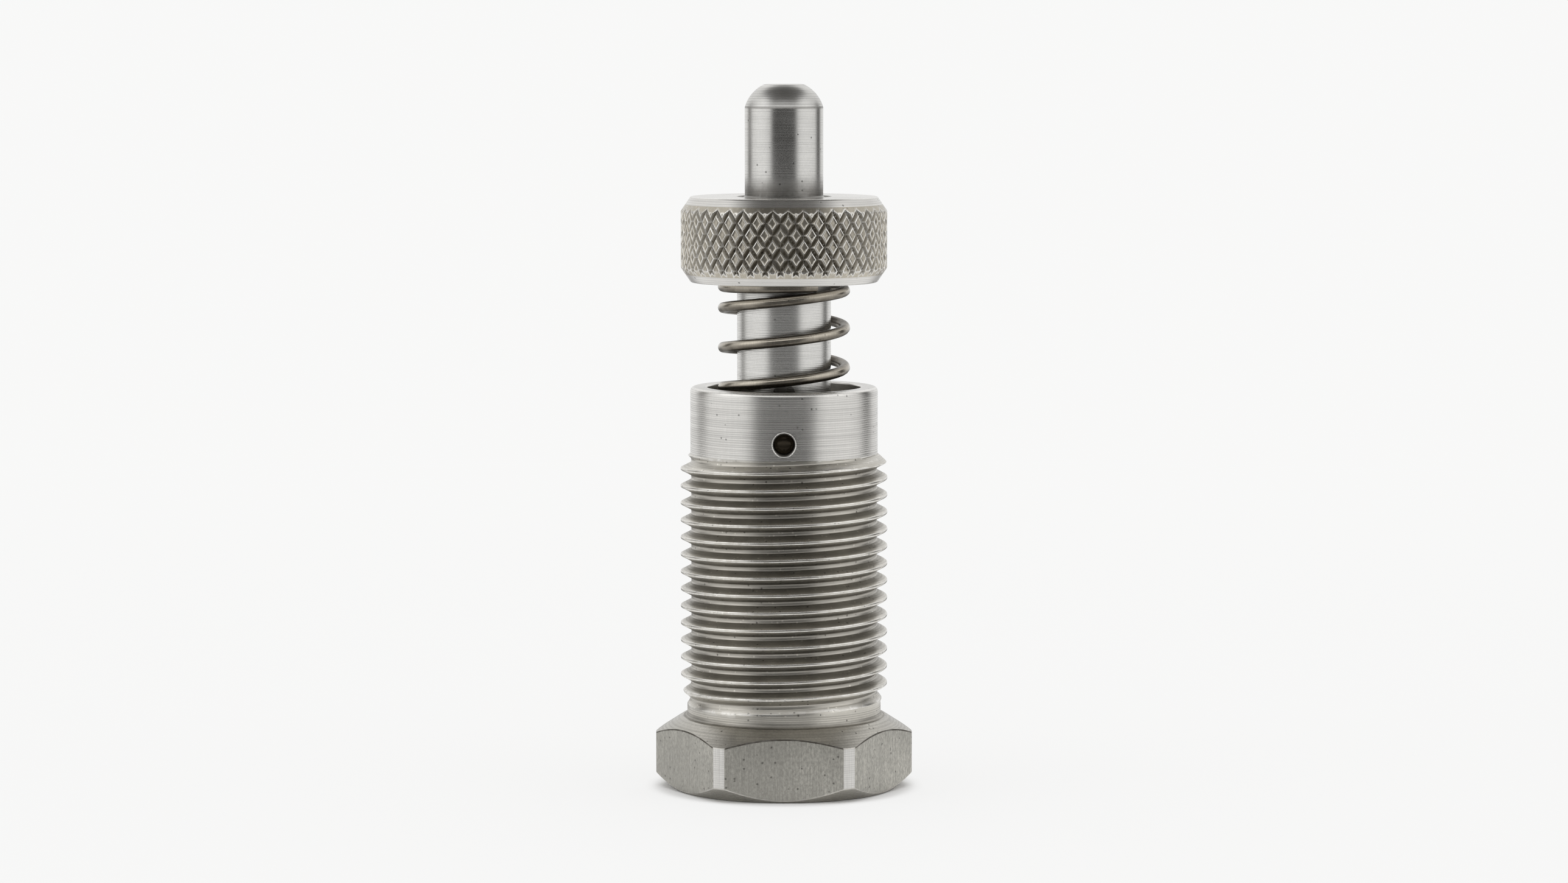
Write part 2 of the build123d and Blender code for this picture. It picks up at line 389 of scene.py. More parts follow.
def math_node(tree, operation, a, b=None, clamp=False):
    """A math node's result."""
    made = node(tree, "ShaderNodeMath", operation=operation, use_clamp=clamp)
    feed(tree, made.inputs[0], a)
    feed(tree, made.inputs[1], b)
    return made.outputs[0]


def remap(tree, value, low, high, to_low=0.0, to_high=1.0):
    """Maps a value from one range to another with a smooth step."""
    made = node(tree, "ShaderNodeMapRange", interpolation_type="SMOOTHSTEP")
    feed(tree, made.inputs["Value"], value)
    for label, number in (("From Min", low), ("From Max", high), ("To Min", to_low), ("To Max", to_high)):
        feed(tree, made.inputs[label], number)
    return made.outputs["Result"]


def mix_colour(tree, share_of_b, a, b, blend="MIX"):
    """A mix of two colours."""
    made = node(tree, "ShaderNodeMix", data_type="RGBA", blend_type=blend)
    feed(tree, made.inputs[0], share_of_b)
    feed(tree, made.inputs[6], a if isinstance(a, bpy.types.NodeSocket) else (*a, 1.0))
    feed(tree, made.inputs[7], b if isinstance(b, bpy.types.NodeSocket) else (*b, 1.0))
    return made.outputs[2]


def stretched(tree, vector, across, along):
    """A position scaled by one number across Z and another along it."""
    made = node(tree, "ShaderNodeVectorMath", operation="MULTIPLY")
    combined = node(tree, "ShaderNodeCombineXYZ")
    feed(tree, combined.inputs[0], across)
    feed(tree, combined.inputs[1], across)
    feed(tree, combined.inputs[2], along)
    feed(tree, made.inputs[0], vector)
    feed(tree, made.inputs[1], combined.outputs[0])
    return made.outputs[0]


def noise(tree, vector, scale=1.0, detail=2.0, roughness=0.5):
    """A noise texture's value."""
    made = node(tree, "ShaderNodeTexNoise")
    feed(tree, made.inputs["Vector"], vector)
    feed(tree, made.inputs["Scale"], scale)
    feed(tree, made.inputs["Detail"], detail)
    feed(tree, made.inputs["Roughness"], roughness)
    return made.outputs["Fac"]


def turning_lines_group():
    """Lines that a lathe tool leaves round the Z axis."""
    group, inside, out = new_group(
        "turning_lines",
        [("Position", "NodeSocketVector", None), ("Lines per metre", "NodeSocketFloat", 5000.0)],
        [("Height", "NodeSocketFloat"), ("Shade", "NodeSocketFloat")],
    )
    position, density = inside.outputs["Position"], inside.outputs["Lines per metre"]
    fine = noise(group, stretched(group, position, 60.0, density), 1.0, 3.0, 0.65)
    coarse = noise(group, stretched(group, position, 35.0, math_node(group, "MULTIPLY", density, 0.27)), 1.0, 2.0)
    axes = node(group, "ShaderNodeSeparateXYZ")
    feed(group, axes.inputs[0], position)
    feeds = math_node(group, "MULTIPLY", math_node(group, "MULTIPLY", axes.outputs["Z"], density), 2 * math.pi)
    feeds = math_node(group, "ADD", feeds, math_node(group, "MULTIPLY", coarse, 9.0))
    regular = math_node(group, "ADD", math_node(group, "MULTIPLY", math_node(group, "SINE", feeds), 0.5), 0.5)
    height = math_node(group, "ADD", fine, math_node(group, "MULTIPLY", coarse, 0.5))
    height = math_node(group, "ADD", height, math_node(group, "MULTIPLY", regular, 0.45))
    feed(group, out.inputs["Height"], height)
    shade = math_node(group, "MULTIPLY", fine, 0.75)
    shade = math_node(group, "ADD", shade, math_node(group, "MULTIPLY", regular, 0.25))
    feed(group, out.inputs["Shade"], remap(group, shade, 0.3, 0.7))
    return group


def scratch_group():
    """Long thin scratches along Z, crossed by a few slanting ones."""
    group, inside, out = new_group(
        "scratches",
        [
            ("Position", "NodeSocketVector", None),
            ("Across", "NodeSocketFloat", 9000.0),
            ("Along", "NodeSocketFloat", 260.0),
        ],
        [("Height", "NodeSocketFloat"), ("Shade", "NodeSocketFloat")],
    )
    position, across, along = (inside.outputs[label] for label in ("Position", "Across", "Along"))
    grain = noise(group, stretched(group, position, across, along), 1.0, 3.0, 0.6)
    turned = node(group, "ShaderNodeVectorRotate", rotation_type="EULER_XYZ")
    turned.inputs["Rotation"].default_value = (0.35, 0.6, 0.2)
    feed(group, turned.inputs["Vector"], position)
    sparse = noise(group, stretched(group, turned.outputs[0], 5200.0, 170.0), 1.0, 1.0)
    lines = remap(group, sparse, 0.70, 0.78)
    feed(group, out.inputs["Height"], math_node(group, "SUBTRACT", grain, math_node(group, "MULTIPLY", lines, 0.6)))
    feed(group, out.inputs["Shade"], remap(group, grain, 0.36, 0.66))
    return group


def pit_group():
    """Tiny pits and specks that corrosion and handling leave, and painted glints."""
    group, inside, out = new_group(
        "pits",
        [
            ("Position", "NodeSocketVector", None),
            ("Size", "NodeSocketFloat", 2600.0),
            ("Amount", "NodeSocketFloat", 0.3),
        ],
        [("Height", "NodeSocketFloat"), ("Mask", "NodeSocketFloat"), ("Sparkle", "NodeSocketFloat")],
    )
    position, size, amount = (inside.outputs[label] for label in ("Position", "Size", "Amount"))
    cells = node(group, "ShaderNodeTexVoronoi", feature="F1", distance="EUCLIDEAN")
    feed(group, cells.inputs["Vector"], position)
    feed(group, cells.inputs["Scale"], size)
    picked = node(group, "ShaderNodeSeparateColor")
    feed(group, picked.inputs[0], cells.outputs["Color"])
    patches = noise(group, position, 420.0, 2.0)
    threshold = math_node(group, "MULTIPLY", amount, remap(group, patches, 0.35, 0.7))
    chosen = math_node(group, "LESS_THAN", picked.outputs[0], threshold)
    spot = remap(group, cells.outputs["Distance"], 0.34, 0.12)
    mask = math_node(group, "MULTIPLY", chosen, spot)
    # Sparkle marks the specks that are painted as glints
    glints = math_node(group, "LESS_THAN", picked.outputs[1], math_node(group, "MULTIPLY", amount, 0.45))
    feed(group, out.inputs["Height"], math_node(group, "SUBTRACT", 1.0, mask))
    feed(group, out.inputs["Mask"], mask)
    feed(group, out.inputs["Sparkle"], math_node(group, "MULTIPLY", glints, spot))
    return group


def cloud_group():
    """Slow change of tone where steel was handled, wiped or oiled."""
    group, inside, out = new_group(
        "handling_clouds",
        [("Position", "NodeSocketVector", None), ("Scale", "NodeSocketFloat", 120.0)],
        [("Shade", "NodeSocketFloat"), ("Mottle", "NodeSocketFloat")],
    )
    position, scale = inside.outputs["Position"], inside.outputs["Scale"]
    slow = noise(group, position, scale, 4.0, 0.6)
    feed(group, out.inputs["Shade"], remap(group, slow, 0.32, 0.7))
    fine = noise(group, stretched(group, position, 5200.0, 3000.0), 1.0, 3.0, 0.7)
    feed(group, out.inputs["Mottle"], remap(group, fine, 0.36, 0.64))
    return group


def edge_wear_group():
    """Rubbed bright edges, and painted shade with some grime in grooves and hollows, from what the mesh says of each
    point.
    """
    group, inside, out = new_group(
        "edge_wear_and_painted_shade",
        [
            ("Position", "NodeSocketVector", None),
            ("Wear", "NodeSocketFloat", 0.5),
            ("Grime", "NodeSocketFloat", 0.5),
            ("Broken", "NodeSocketFloat", 0.2),
        ],
        [("Bright", "NodeSocketFloat"), ("Dark", "NodeSocketFloat")],
    )
    position, wear, grime_and_shade, gaps = (inside.outputs[label] for label in ("Position", "Wear", "Grime", "Broken"))
    edge = node(group, "ShaderNodeAttribute", attribute_name="edge_wear")
    recess = node(group, "ShaderNodeAttribute", attribute_name="recess")
    broken = noise(group, position, 1500.0, 3.0, 0.6)
    patchy = noise(group, position, 600.0, 3.0, 0.6)
    bright = math_node(group, "MULTIPLY", edge.outputs["Fac"], remap(group, broken, 0.35, 0.6, 0.35, 1.0))
    gaps = math_node(group, "MULTIPLY", gaps, remap(group, patchy, 0.42, 0.6))
    # Dark is painted shade, with some grime, where the mesh marks a point
    dark = math_node(group, "MULTIPLY", recess.outputs["Fac"], math_node(group, "SUBTRACT", 1.0, gaps))
    feed(group, out.inputs["Bright"], math_node(group, "MULTIPLY", bright, wear, clamp=True))
    feed(group, out.inputs["Dark"], math_node(group, "MULTIPLY", dark, grime_and_shade, clamp=True))
    return group


def shared_groups():
    """The node groups, made once."""
    makers = {
        "turning_lines": turning_lines_group,
        "scratches": scratch_group,
        "pits": pit_group,
        "handling_clouds": cloud_group,
        "edge_wear_and_painted_shade": edge_wear_group,
    }
    return {name: bpy.data.node_groups.get(name) or make() for name, make in makers.items()}


def place_group(tree, name, position, **values):
    """Puts a shared group in a material with its own values."""
    made = node(tree, "ShaderNodeGroup")
    made.node_tree = shared_groups()[name]
    feed(tree, made.inputs["Position"], position)
    for label, value in values.items():
        made.inputs[label.replace("_", " ")].default_value = value
    return made.outputs


def shaded(tone, factor):
    """A colour made darker or brighter by a factor."""
    return tuple(min(0.97, c * factor) for c in tone)


def steel(name, base, roughness, lines=0.0, line_spacing=None, line_tone=0.3, grain=0.0, grain_tone=0.3,
          pits=0.0, sparkle=0.0, mottle=0.0, wear=0.5, grime_and_shade=0.0, broken=0.2, clouds=0.14):
    """A steel finish. Lines, grain and pits say how strongly each shows in the relief, and the tones in the
    colour."""
    found = bpy.data.materials.get(name)
    if found:
        return found
    finish = bpy.context.scene.plunger_finish
    material = bpy.data.materials.new(name)
    material.use_nodes = True
    tree = material.node_tree
    shader = tree.nodes["Principled BSDF"]
    shader.inputs["Metallic"].default_value = 1.0
    position = node(tree, "ShaderNodeTexCoord").outputs["Object"]
    spacing = line_spacing or finish.line_spacing
    turning = place_group(tree, "turning_lines", position, Lines_per_metre=1.0 / spacing)
    scratches = place_group(tree, "scratches", position)
    spots = place_group(tree, "pits", position, Amount=pits)
    handled = place_group(tree, "handling_clouds", position, Scale=130.0)
    edges = place_group(tree, "edge_wear_and_painted_shade", position, Wear=wear, Grime=grime_and_shade, Broken=broken)

    tone = mix_colour(tree, handled["Shade"], shaded(base, 1 - clouds), base)
    if lines:
        tone = mix_colour(tree, math_node(tree, "MULTIPLY", turning["Shade"], line_tone), tone, shaded(base, 0.45))
    if grain:
        tone = mix_colour(tree, math_node(tree, "MULTIPLY", scratches["Shade"], grain_tone), tone, shaded(base, 0.5))
    if mottle:
        tone = mix_colour(tree, math_node(tree, "MULTIPLY", handled["Mottle"], mottle), tone, shaded(base, 0.45))
    tone = mix_colour(tree, math_node(tree, "MULTIPLY", spots["Mask"], 0.8), tone, shaded(base, 0.2))
    # Painted glints: specks brighter than the steel
    if sparkle:
        tone = mix_colour(tree, math_node(tree, "MULTIPLY", spots["Sparkle"], sparkle), tone, shaded(base, 1.35))
    tone = mix_colour(tree, edges["Bright"], tone, tuple(finish.turned))
    # Painted shade in grooves and hollows, with some grime, darkens the colour here
    tone = mix_colour(tree, edges["Dark"], tone, tuple(finish.grime_and_shade))
    feed(tree, shader.inputs["Base Color"], tone)

    rough = math_node(tree, "ADD", roughness, math_node(tree, "MULTIPLY", handled["Shade"], 0.05))
    rough = math_node(tree, "ADD", rough, math_node(tree, "MULTIPLY", turning["Shade"], 0.06 if lines else 0.0))
    rough = math_node(tree, "ADD", rough, math_node(tree, "MULTIPLY", edges["Dark"], 0.3))
    rough = math_node(tree, "SUBTRACT", rough, math_node(tree, "MULTIPLY", edges["Bright"], 0.05), clamp=True)
    feed(tree, shader.inputs["Roughness"], rough)

    height = math_node(tree, "MULTIPLY", turning["Height"], lines)
    height = math_node(tree, "ADD", height, math_node(tree, "MULTIPLY", scratches["Height"], grain))
    height = math_node(tree, "ADD", height, math_node(tree, "MULTIPLY", spots["Height"], 2.0 if pits else 0.0))
    bump = node(tree, "ShaderNodeBump")
    bump.inputs["Strength"].default_value = 1.0
    bump.inputs["Distance"].default_value = finish.line_depth
    feed(tree, bump.inputs["Height"], height)
    feed(tree, shader.inputs["Normal"], bump.outputs["Normal"])
    return material


def hexagon_steel():
    """Satin hexagon bar with fine upright scratches, specks and a dark burr along the turned chamfer."""
    finish = bpy.context.scene.plunger_finish
    return steel(
        "hexagon_bar", shaded(finish.satin, 1.16), finish.satin_roughness, grain=1.0, grain_tone=0.5, pits=0.3,
        mottle=0.6, wear=0.35, grime_and_shade=0.95, broken=0.7, clouds=0.3
    )


def corner_steel():
    """The hexagon's turned corners, bright between two flats."""
    finish = bpy.context.scene.plunger_finish
    return steel(
        "turned_corner", shaded(finish.turned, 0.93), 0.24, lines=0.6, grain=0.5, pits=0.08, wear=0.2, clouds=0.1
    )


def chamfer_steel():
    """Turned chamfers of the hexagon."""
    finish = bpy.context.scene.plunger_finish
    return steel(
        "turned_chamfer", shaded(finish.cut, 0.92), 0.25, lines=1.2, line_tone=0.35, pits=0.15, mottle=0.3, wear=0.5,
        grime_and_shade=0.85, clouds=0.3
    )


def neck_steel():
    """Plain neck under the thread, lined by the tool and a little brown."""
    finish = bpy.context.scene.plunger_finish
    return steel(
        "turned_neck", shaded(finish.cut, 1.2), 0.26, lines=1.4, line_tone=0.65, pits=0.2, mottle=0.1, wear=0.5,
        grime_and_shade=0.9, clouds=0.25
    )


def thread_steel():
    """Cut thread, darkened on its flanks by oil and painted shade, bright on its crests, with painted glints."""
    finish = bpy.context.scene.plunger_finish
    return steel(
        "cut_thread", shaded(finish.cut, 1.1), 0.23, lines=0.8, line_spacing=0.12 * MM, line_tone=0.25, pits=0.4,
        sparkle=0.7, wear=1.0, grime_and_shade=0.82, broken=0.15, clouds=0.25
    )


def collar_steel():
    """Turned collar and rim."""
    finish = bpy.context.scene.plunger_finish
    return steel(
        "turned_collar", tuple(finish.turned), finish.turned_roughness, lines=1.6, line_tone=0.5, grain=0.1,
        grain_tone=0.1, pits=0.12, wear=0.6, grime_and_shade=0.8
    )


def shaded_bore_steel():
    """Bored inside of the body, a darker copy of the cut steel as painted shade."""
    finish = bpy.context.scene.plunger_finish
    return steel("bored_inside_shaded", shaded(finish.cut, 0.7), 0.35, lines=1.0, pits=0.1, wear=0.4, grime_and_shade=0.95, clouds=0.3)


def ground_steel():
    """Ground stem and nose, with faint lines and a few pits."""
    finish = bpy.context.scene.plunger_finish
    return steel(
        "ground_pin", tuple(finish.ground), finish.ground_roughness, lines=1.3, line_spacing=0.14 * MM,
        line_tone=0.38, pits=0.12, mottle=0.1, wear=0.3, grime_and_shade=0.9
    )


def taper_steel():
    """Turned taper of the nose, with the tool's lines left in it."""
    finish = bpy.context.scene.plunger_finish
    return steel(
        "turned_taper", shaded(finish.ground, 0.97), 0.27, lines=2.2, line_spacing=0.14 * MM, line_tone=0.5,
        pits=0.1, mottle=0.1, wear=0.3, grime_and_shade=0.9
    )


def knurl_steel():
    """Knurled steel with grooves and dimples painted dark brown as shade, and bright rims."""
    finish = bpy.context.scene.plunger_finish
    return steel(
        "knurled_rim", tuple(finish.knurled), 0.26, grain=0.3, pits=0.3, sparkle=0.4, wear=1.0, grime_and_shade=0.43,
        broken=0.2, clouds=0.2
    )


def knob_face_steel():
    """Turned faces of the knob, with painted shade in the bore's chamfer round the nose."""
    finish = bpy.context.scene.plunger_finish
    return steel(
        "knob_face", shaded(finish.turned, 0.96), finish.turned_roughness, lines=0.8, pits=0.1, wear=0.5, grime_and_shade=0.95
    )


def wire_steel():
    """Drawn spring wire with a brown skin, painted dark as shade away from its painted highlight."""
    finish = bpy.context.scene.plunger_finish
    return steel(
        "spring_wire", shaded(finish.wire, 0.9), 0.12, grain=0.15, pits=0.15, wear=0.0, grime_and_shade=0.9, clouds=0.2
    )


def dowel_steel():
    """Dowel end, smooth, slightly domed and dark brown."""
    finish = bpy.context.scene.plunger_finish
    return steel("dowel_end", shaded(finish.grime_and_shade, 2.6), 0.2, pits=0.1, mottle=0.2, wear=0.3, clouds=0.4)


# ---------------------------------------------------------------------------
# Threaded body
# ---------------------------------------------------------------------------

FRONT = -math.pi / 2
FLAT_COUNT = 6
# Angles in degrees from the middle of a flat to its corner, closer where the turned corner starts
FLAT_ANGLES = (0, 1.6, 3.2, 4.8, 6.4, 8.0, 9.6, 12.1, 14.6, 17.1, 19.6, 21.8, 23.6, 24.9, 25.8, 26.35, 26.77, 27.2,
               27.9, 28.9, 30.0)
FLAT_MIDDLE = len(FLAT_ANGLES) - 1
COLUMNS_PER_FLAT = 2 * FLAT_MIDDLE
CORNER_COLUMN = 17
# The body's finishes, in the order of its materials
HEXAGON, CHAMFER, THREAD, COLLAR, BORE, CORNER, NECK = range(7)
# Grids round the cross hole: columns to each side, rows, and half their height
COLLAR_HOLE_COLUMNS = 6
BORE_HOLE_COLUMNS = 10
HOLE_ROWS_OUTSIDE = 12
HOLE_ROWS_INSIDE = 4
COLLAR_HOLE_HALF = 1.32 * MM
BORE_HOLE_HALF = 1.3 * MM
# Distances from the axis where the cross hole's plain wall starts and ends
HOLE_WALL_START = 7.7 * MM
HOLE_WALL_END = 4.6 * MM
HOLE_WALL_RINGS = 7
BORE_MIDDLE = 20 * MM
FILLET_STEPS = 6
# Height over which the blank under the thread widens, and how keenly a turned corner breaks from its flat
LEAD_HEIGHT = 1.5 * MM
CORNER_KEENNESS = 22.0 / MM
# One pitch of the thread from crest to crest: share of the pitch, and depth from 0 at the crest to 1 at the root
THREAD_PROFILE = ((0.0, 0.0), (0.05, 0.0), (0.075, 0.03), (0.1, 0.085), (0.23, 0.52), (0.36, 0.93), (0.41, 0.985),
                  (0.5, 1.0), (0.59, 0.985), (0.64, 0.93), (0.77, 0.52), (0.9, 0.085), (0.925, 0.03), (0.95, 0.0))


def body_angles():
    """Angles of the body's columns, from the left corner of the front flat all the way round."""
    half = np.radians(FLAT_ANGLES)
    side = np.concatenate([-half[:0:-1], half[:-1]])
    return np.concatenate([FRONT + side + k * math.pi / 3 for k in range(FLAT_COUNT)])


def flat_columns():
    """Columns whose faces lie on a flat."""
    on_flat = range(FLAT_MIDDLE - CORNER_COLUMN, FLAT_MIDDLE + CORNER_COLUMN)
    return [k * COLUMNS_PER_FLAT + column for k in range(FLAT_COUNT) for column in on_flat]


def corner_columns():
    """Columns whose faces lie on a turned corner."""
    return np.setdiff1d(np.arange(COLUMNS_PER_FLAT * FLAT_COUNT), flat_columns())


def hexagon_radius(angles, sizes):
    """Radius of the hexagon bar at each angle, with its corners turned off."""
    turn = (angles - FRONT + math.pi / 6) % (math.pi / 3) - math.pi / 6
    flat = sizes.across_flats / 2 / np.cos(turn)
    turned = sizes.turned_diameter / 2
    return flat - np.log1p(np.exp(-CORNER_KEENNESS * (turned - flat))) / CORNER_KEENNESS


def flank_oil_and_shade(part, depth):
    """Oil and painted shade on the thread's flanks, thinner at the root and on the upper flank."""
    lower_share = 0.5 if part < 0.5 else 0.84
    return smooth_step(depth, 0.08, 0.6) * (1 - 0.62 * smooth_step(depth, 0.93, 0.99)) * lower_share


def add_thread(skin, angles, sizes):
    """The helical skin of the thread, between its two end heights. Returns the end rings."""
    per_pitch = len(THREAD_PROFILE)
    low, high, pitch = sizes.thread_bottom, sizes.thread_top, sizes.thread_pitch
    crest, neck, collar = sizes.thread_diameter / 2, sizes.neck_diameter / 2, sizes.collar_diameter / 2
    turn = (angles - angles[0]) / (2 * math.pi)
    # Crest height at the first column, then one pitch more each turn
    first_crest = sizes.thread_crest + pitch * (angles[0] + math.pi) / (2 * math.pi)
    first_crest -= pitch * (math.ceil((first_crest - low) / pitch) + 2)
    pitches = math.ceil((high - first_crest) / pitch) + 2
    grid = []
    for number in range(pitches * per_pitch):
        part, depth = THREAD_PROFILE[number % per_pitch]
        height = first_crest + pitch * (turn + number // per_pitch + part)
        clamped = np.clip(height, low, high)
        fade = 1 - (1 - np.clip((clamped - low) / sizes.run_out, 0, 1)) ** 2
        widened = np.clip((clamped - sizes.thread_lead) / LEAD_HEIGHT, 0, 1)
        envelope = neck + widened * (crest - neck)
        radius = envelope - fade * sizes.thread_depth * depth
        start_cone = collar + (high - clamped) / sizes.thread_chamfer * (crest - collar)
        radius = np.minimum(radius, start_cone)
        radius = np.where(height <= low, neck, np.where(height >= high, collar, radius))
        # The first turn under the collar gets less of the flanks' oil and painted shade
        start_share = 1 - 0.8 * smooth_step(clamped, high - sizes.thread_pitch, high - sizes.thread_pitch / 3)
        grid.append(skin.ring(circle(angles, radius, clamped), fade * flank_oil_and_shade(part, depth) * start_share))
    for number in range(len(grid) - per_pitch - 1):
        near, far = grid[number], grid[number + 1]
        skin.band(near, far, THREAD, closed=False)
        wrapped_near, wrapped_far = grid[number + per_pitch], grid[number + per_pitch + 1]
        skin.quads(near[-1:], wrapped_near[:1], wrapped_far[:1], far[-1:], THREAD)
    return skin.ring(circle(angles, neck, low)), skin.ring(circle(angles, collar, high))


def hole_loop(rings, first_ring, last_ring, first_column, last_column):
    """Point numbers round the rectangle that a hole takes out of a grid, from its lower left corner to the right."""
    loop = [rings[first_ring][c] for c in range(first_column, last_column)]
    loop += [rings[r][last_column] for r in steps(first_ring, last_ring)]
    loop += [rings[last_ring][c] for c in range(last_column, first_column, -1)]
    loop += [rings[r][first_column] for r in steps(last_ring, first_ring)]
    return np.array(loop)


def steps(start, end):
    """Whole numbers from start up or down to end, without the end."""
    return range(start, end, 1 if end > start else -1)


def round_angles(points, height):
    """Angles of points round the cross hole's axis, rising from the first one."""
    angle = np.arctan2(points[:, 2] - height, points[:, 0])
    return np.unwrap(angle)


def add_cross_hole(skin, collar_loop, bore_loop, sizes):
    """The cross hole's broken edge and wall, from the collar to the guide bore."""
    points = np.concatenate(skin.points)
    height = sizes.cross_hole_height
    radius = sizes.cross_hole_diameter / 2
    edge = sizes.cross_hole_round
    outer_angles = round_angles(points[collar_loop], height)
    inner_angles = round_angles(points[bore_loop], height)
    collar, bore = sizes.collar_diameter / 2, sizes.bore_diameter / 2

    def loop(angles, reach, cylinder=None, depth=0.0, distance=None):
        x, z = reach * np.cos(angles), height + reach * np.sin(angles)
        y = -np.sqrt(cylinder**2 - x**2) + depth if cylinder else np.full(len(x), -distance)
        return np.stack([x, y, z], axis=1)

    outer_points = points[collar_loop]
    first_round = loop(outer_angles, radius + edge + 0.06 * MM, collar)
    rows = [collar_loop]
    for share_in in (0.35, 0.7):
        blended = outer_points * (1 - share_in) + first_round * share_in
        blended[:, 1] = -np.sqrt(collar**2 - blended[:, 0] ** 2)
        rows.append(skin.ring(blended))
    rows.append(skin.ring(first_round))
    rows.append(skin.ring(loop(outer_angles, radius + edge, collar, 0.008 * MM)))
    # From here into the hole the rings carry painted shade, darkest where the edge turns into the wall
    rows.append(skin.ring(loop(outer_angles, radius + edge * 0.55, collar, edge * 0.42), 0.3))
    rows.append(skin.ring(loop(outer_angles, radius + edge * 0.18, collar, edge * 0.82), 0.7))
    rows.append(skin.ring(loop(outer_angles, radius, collar, edge * 1.25), 1.0))
    for near, far in zip(rows[:-1], rows[1:]):
        skin.band(near, far, COLLAR)
    tube = [rows[-1]]
    for part in np.linspace(0, 1, HOLE_WALL_RINGS):
        angles = outer_angles * (1 - part) + inner_angles * part
        distance = HOLE_WALL_START + part * (HOLE_WALL_END - HOLE_WALL_START)
        tube.append(skin.ring(loop(angles, radius, distance=distance), 0.5))
    tube.append(skin.ring(loop(inner_angles, radius, bore)))
    tube.append(bore_loop)
    for near, far in zip(tube[:-1], tube[1:]):
        skin.band(near, far, BORE)


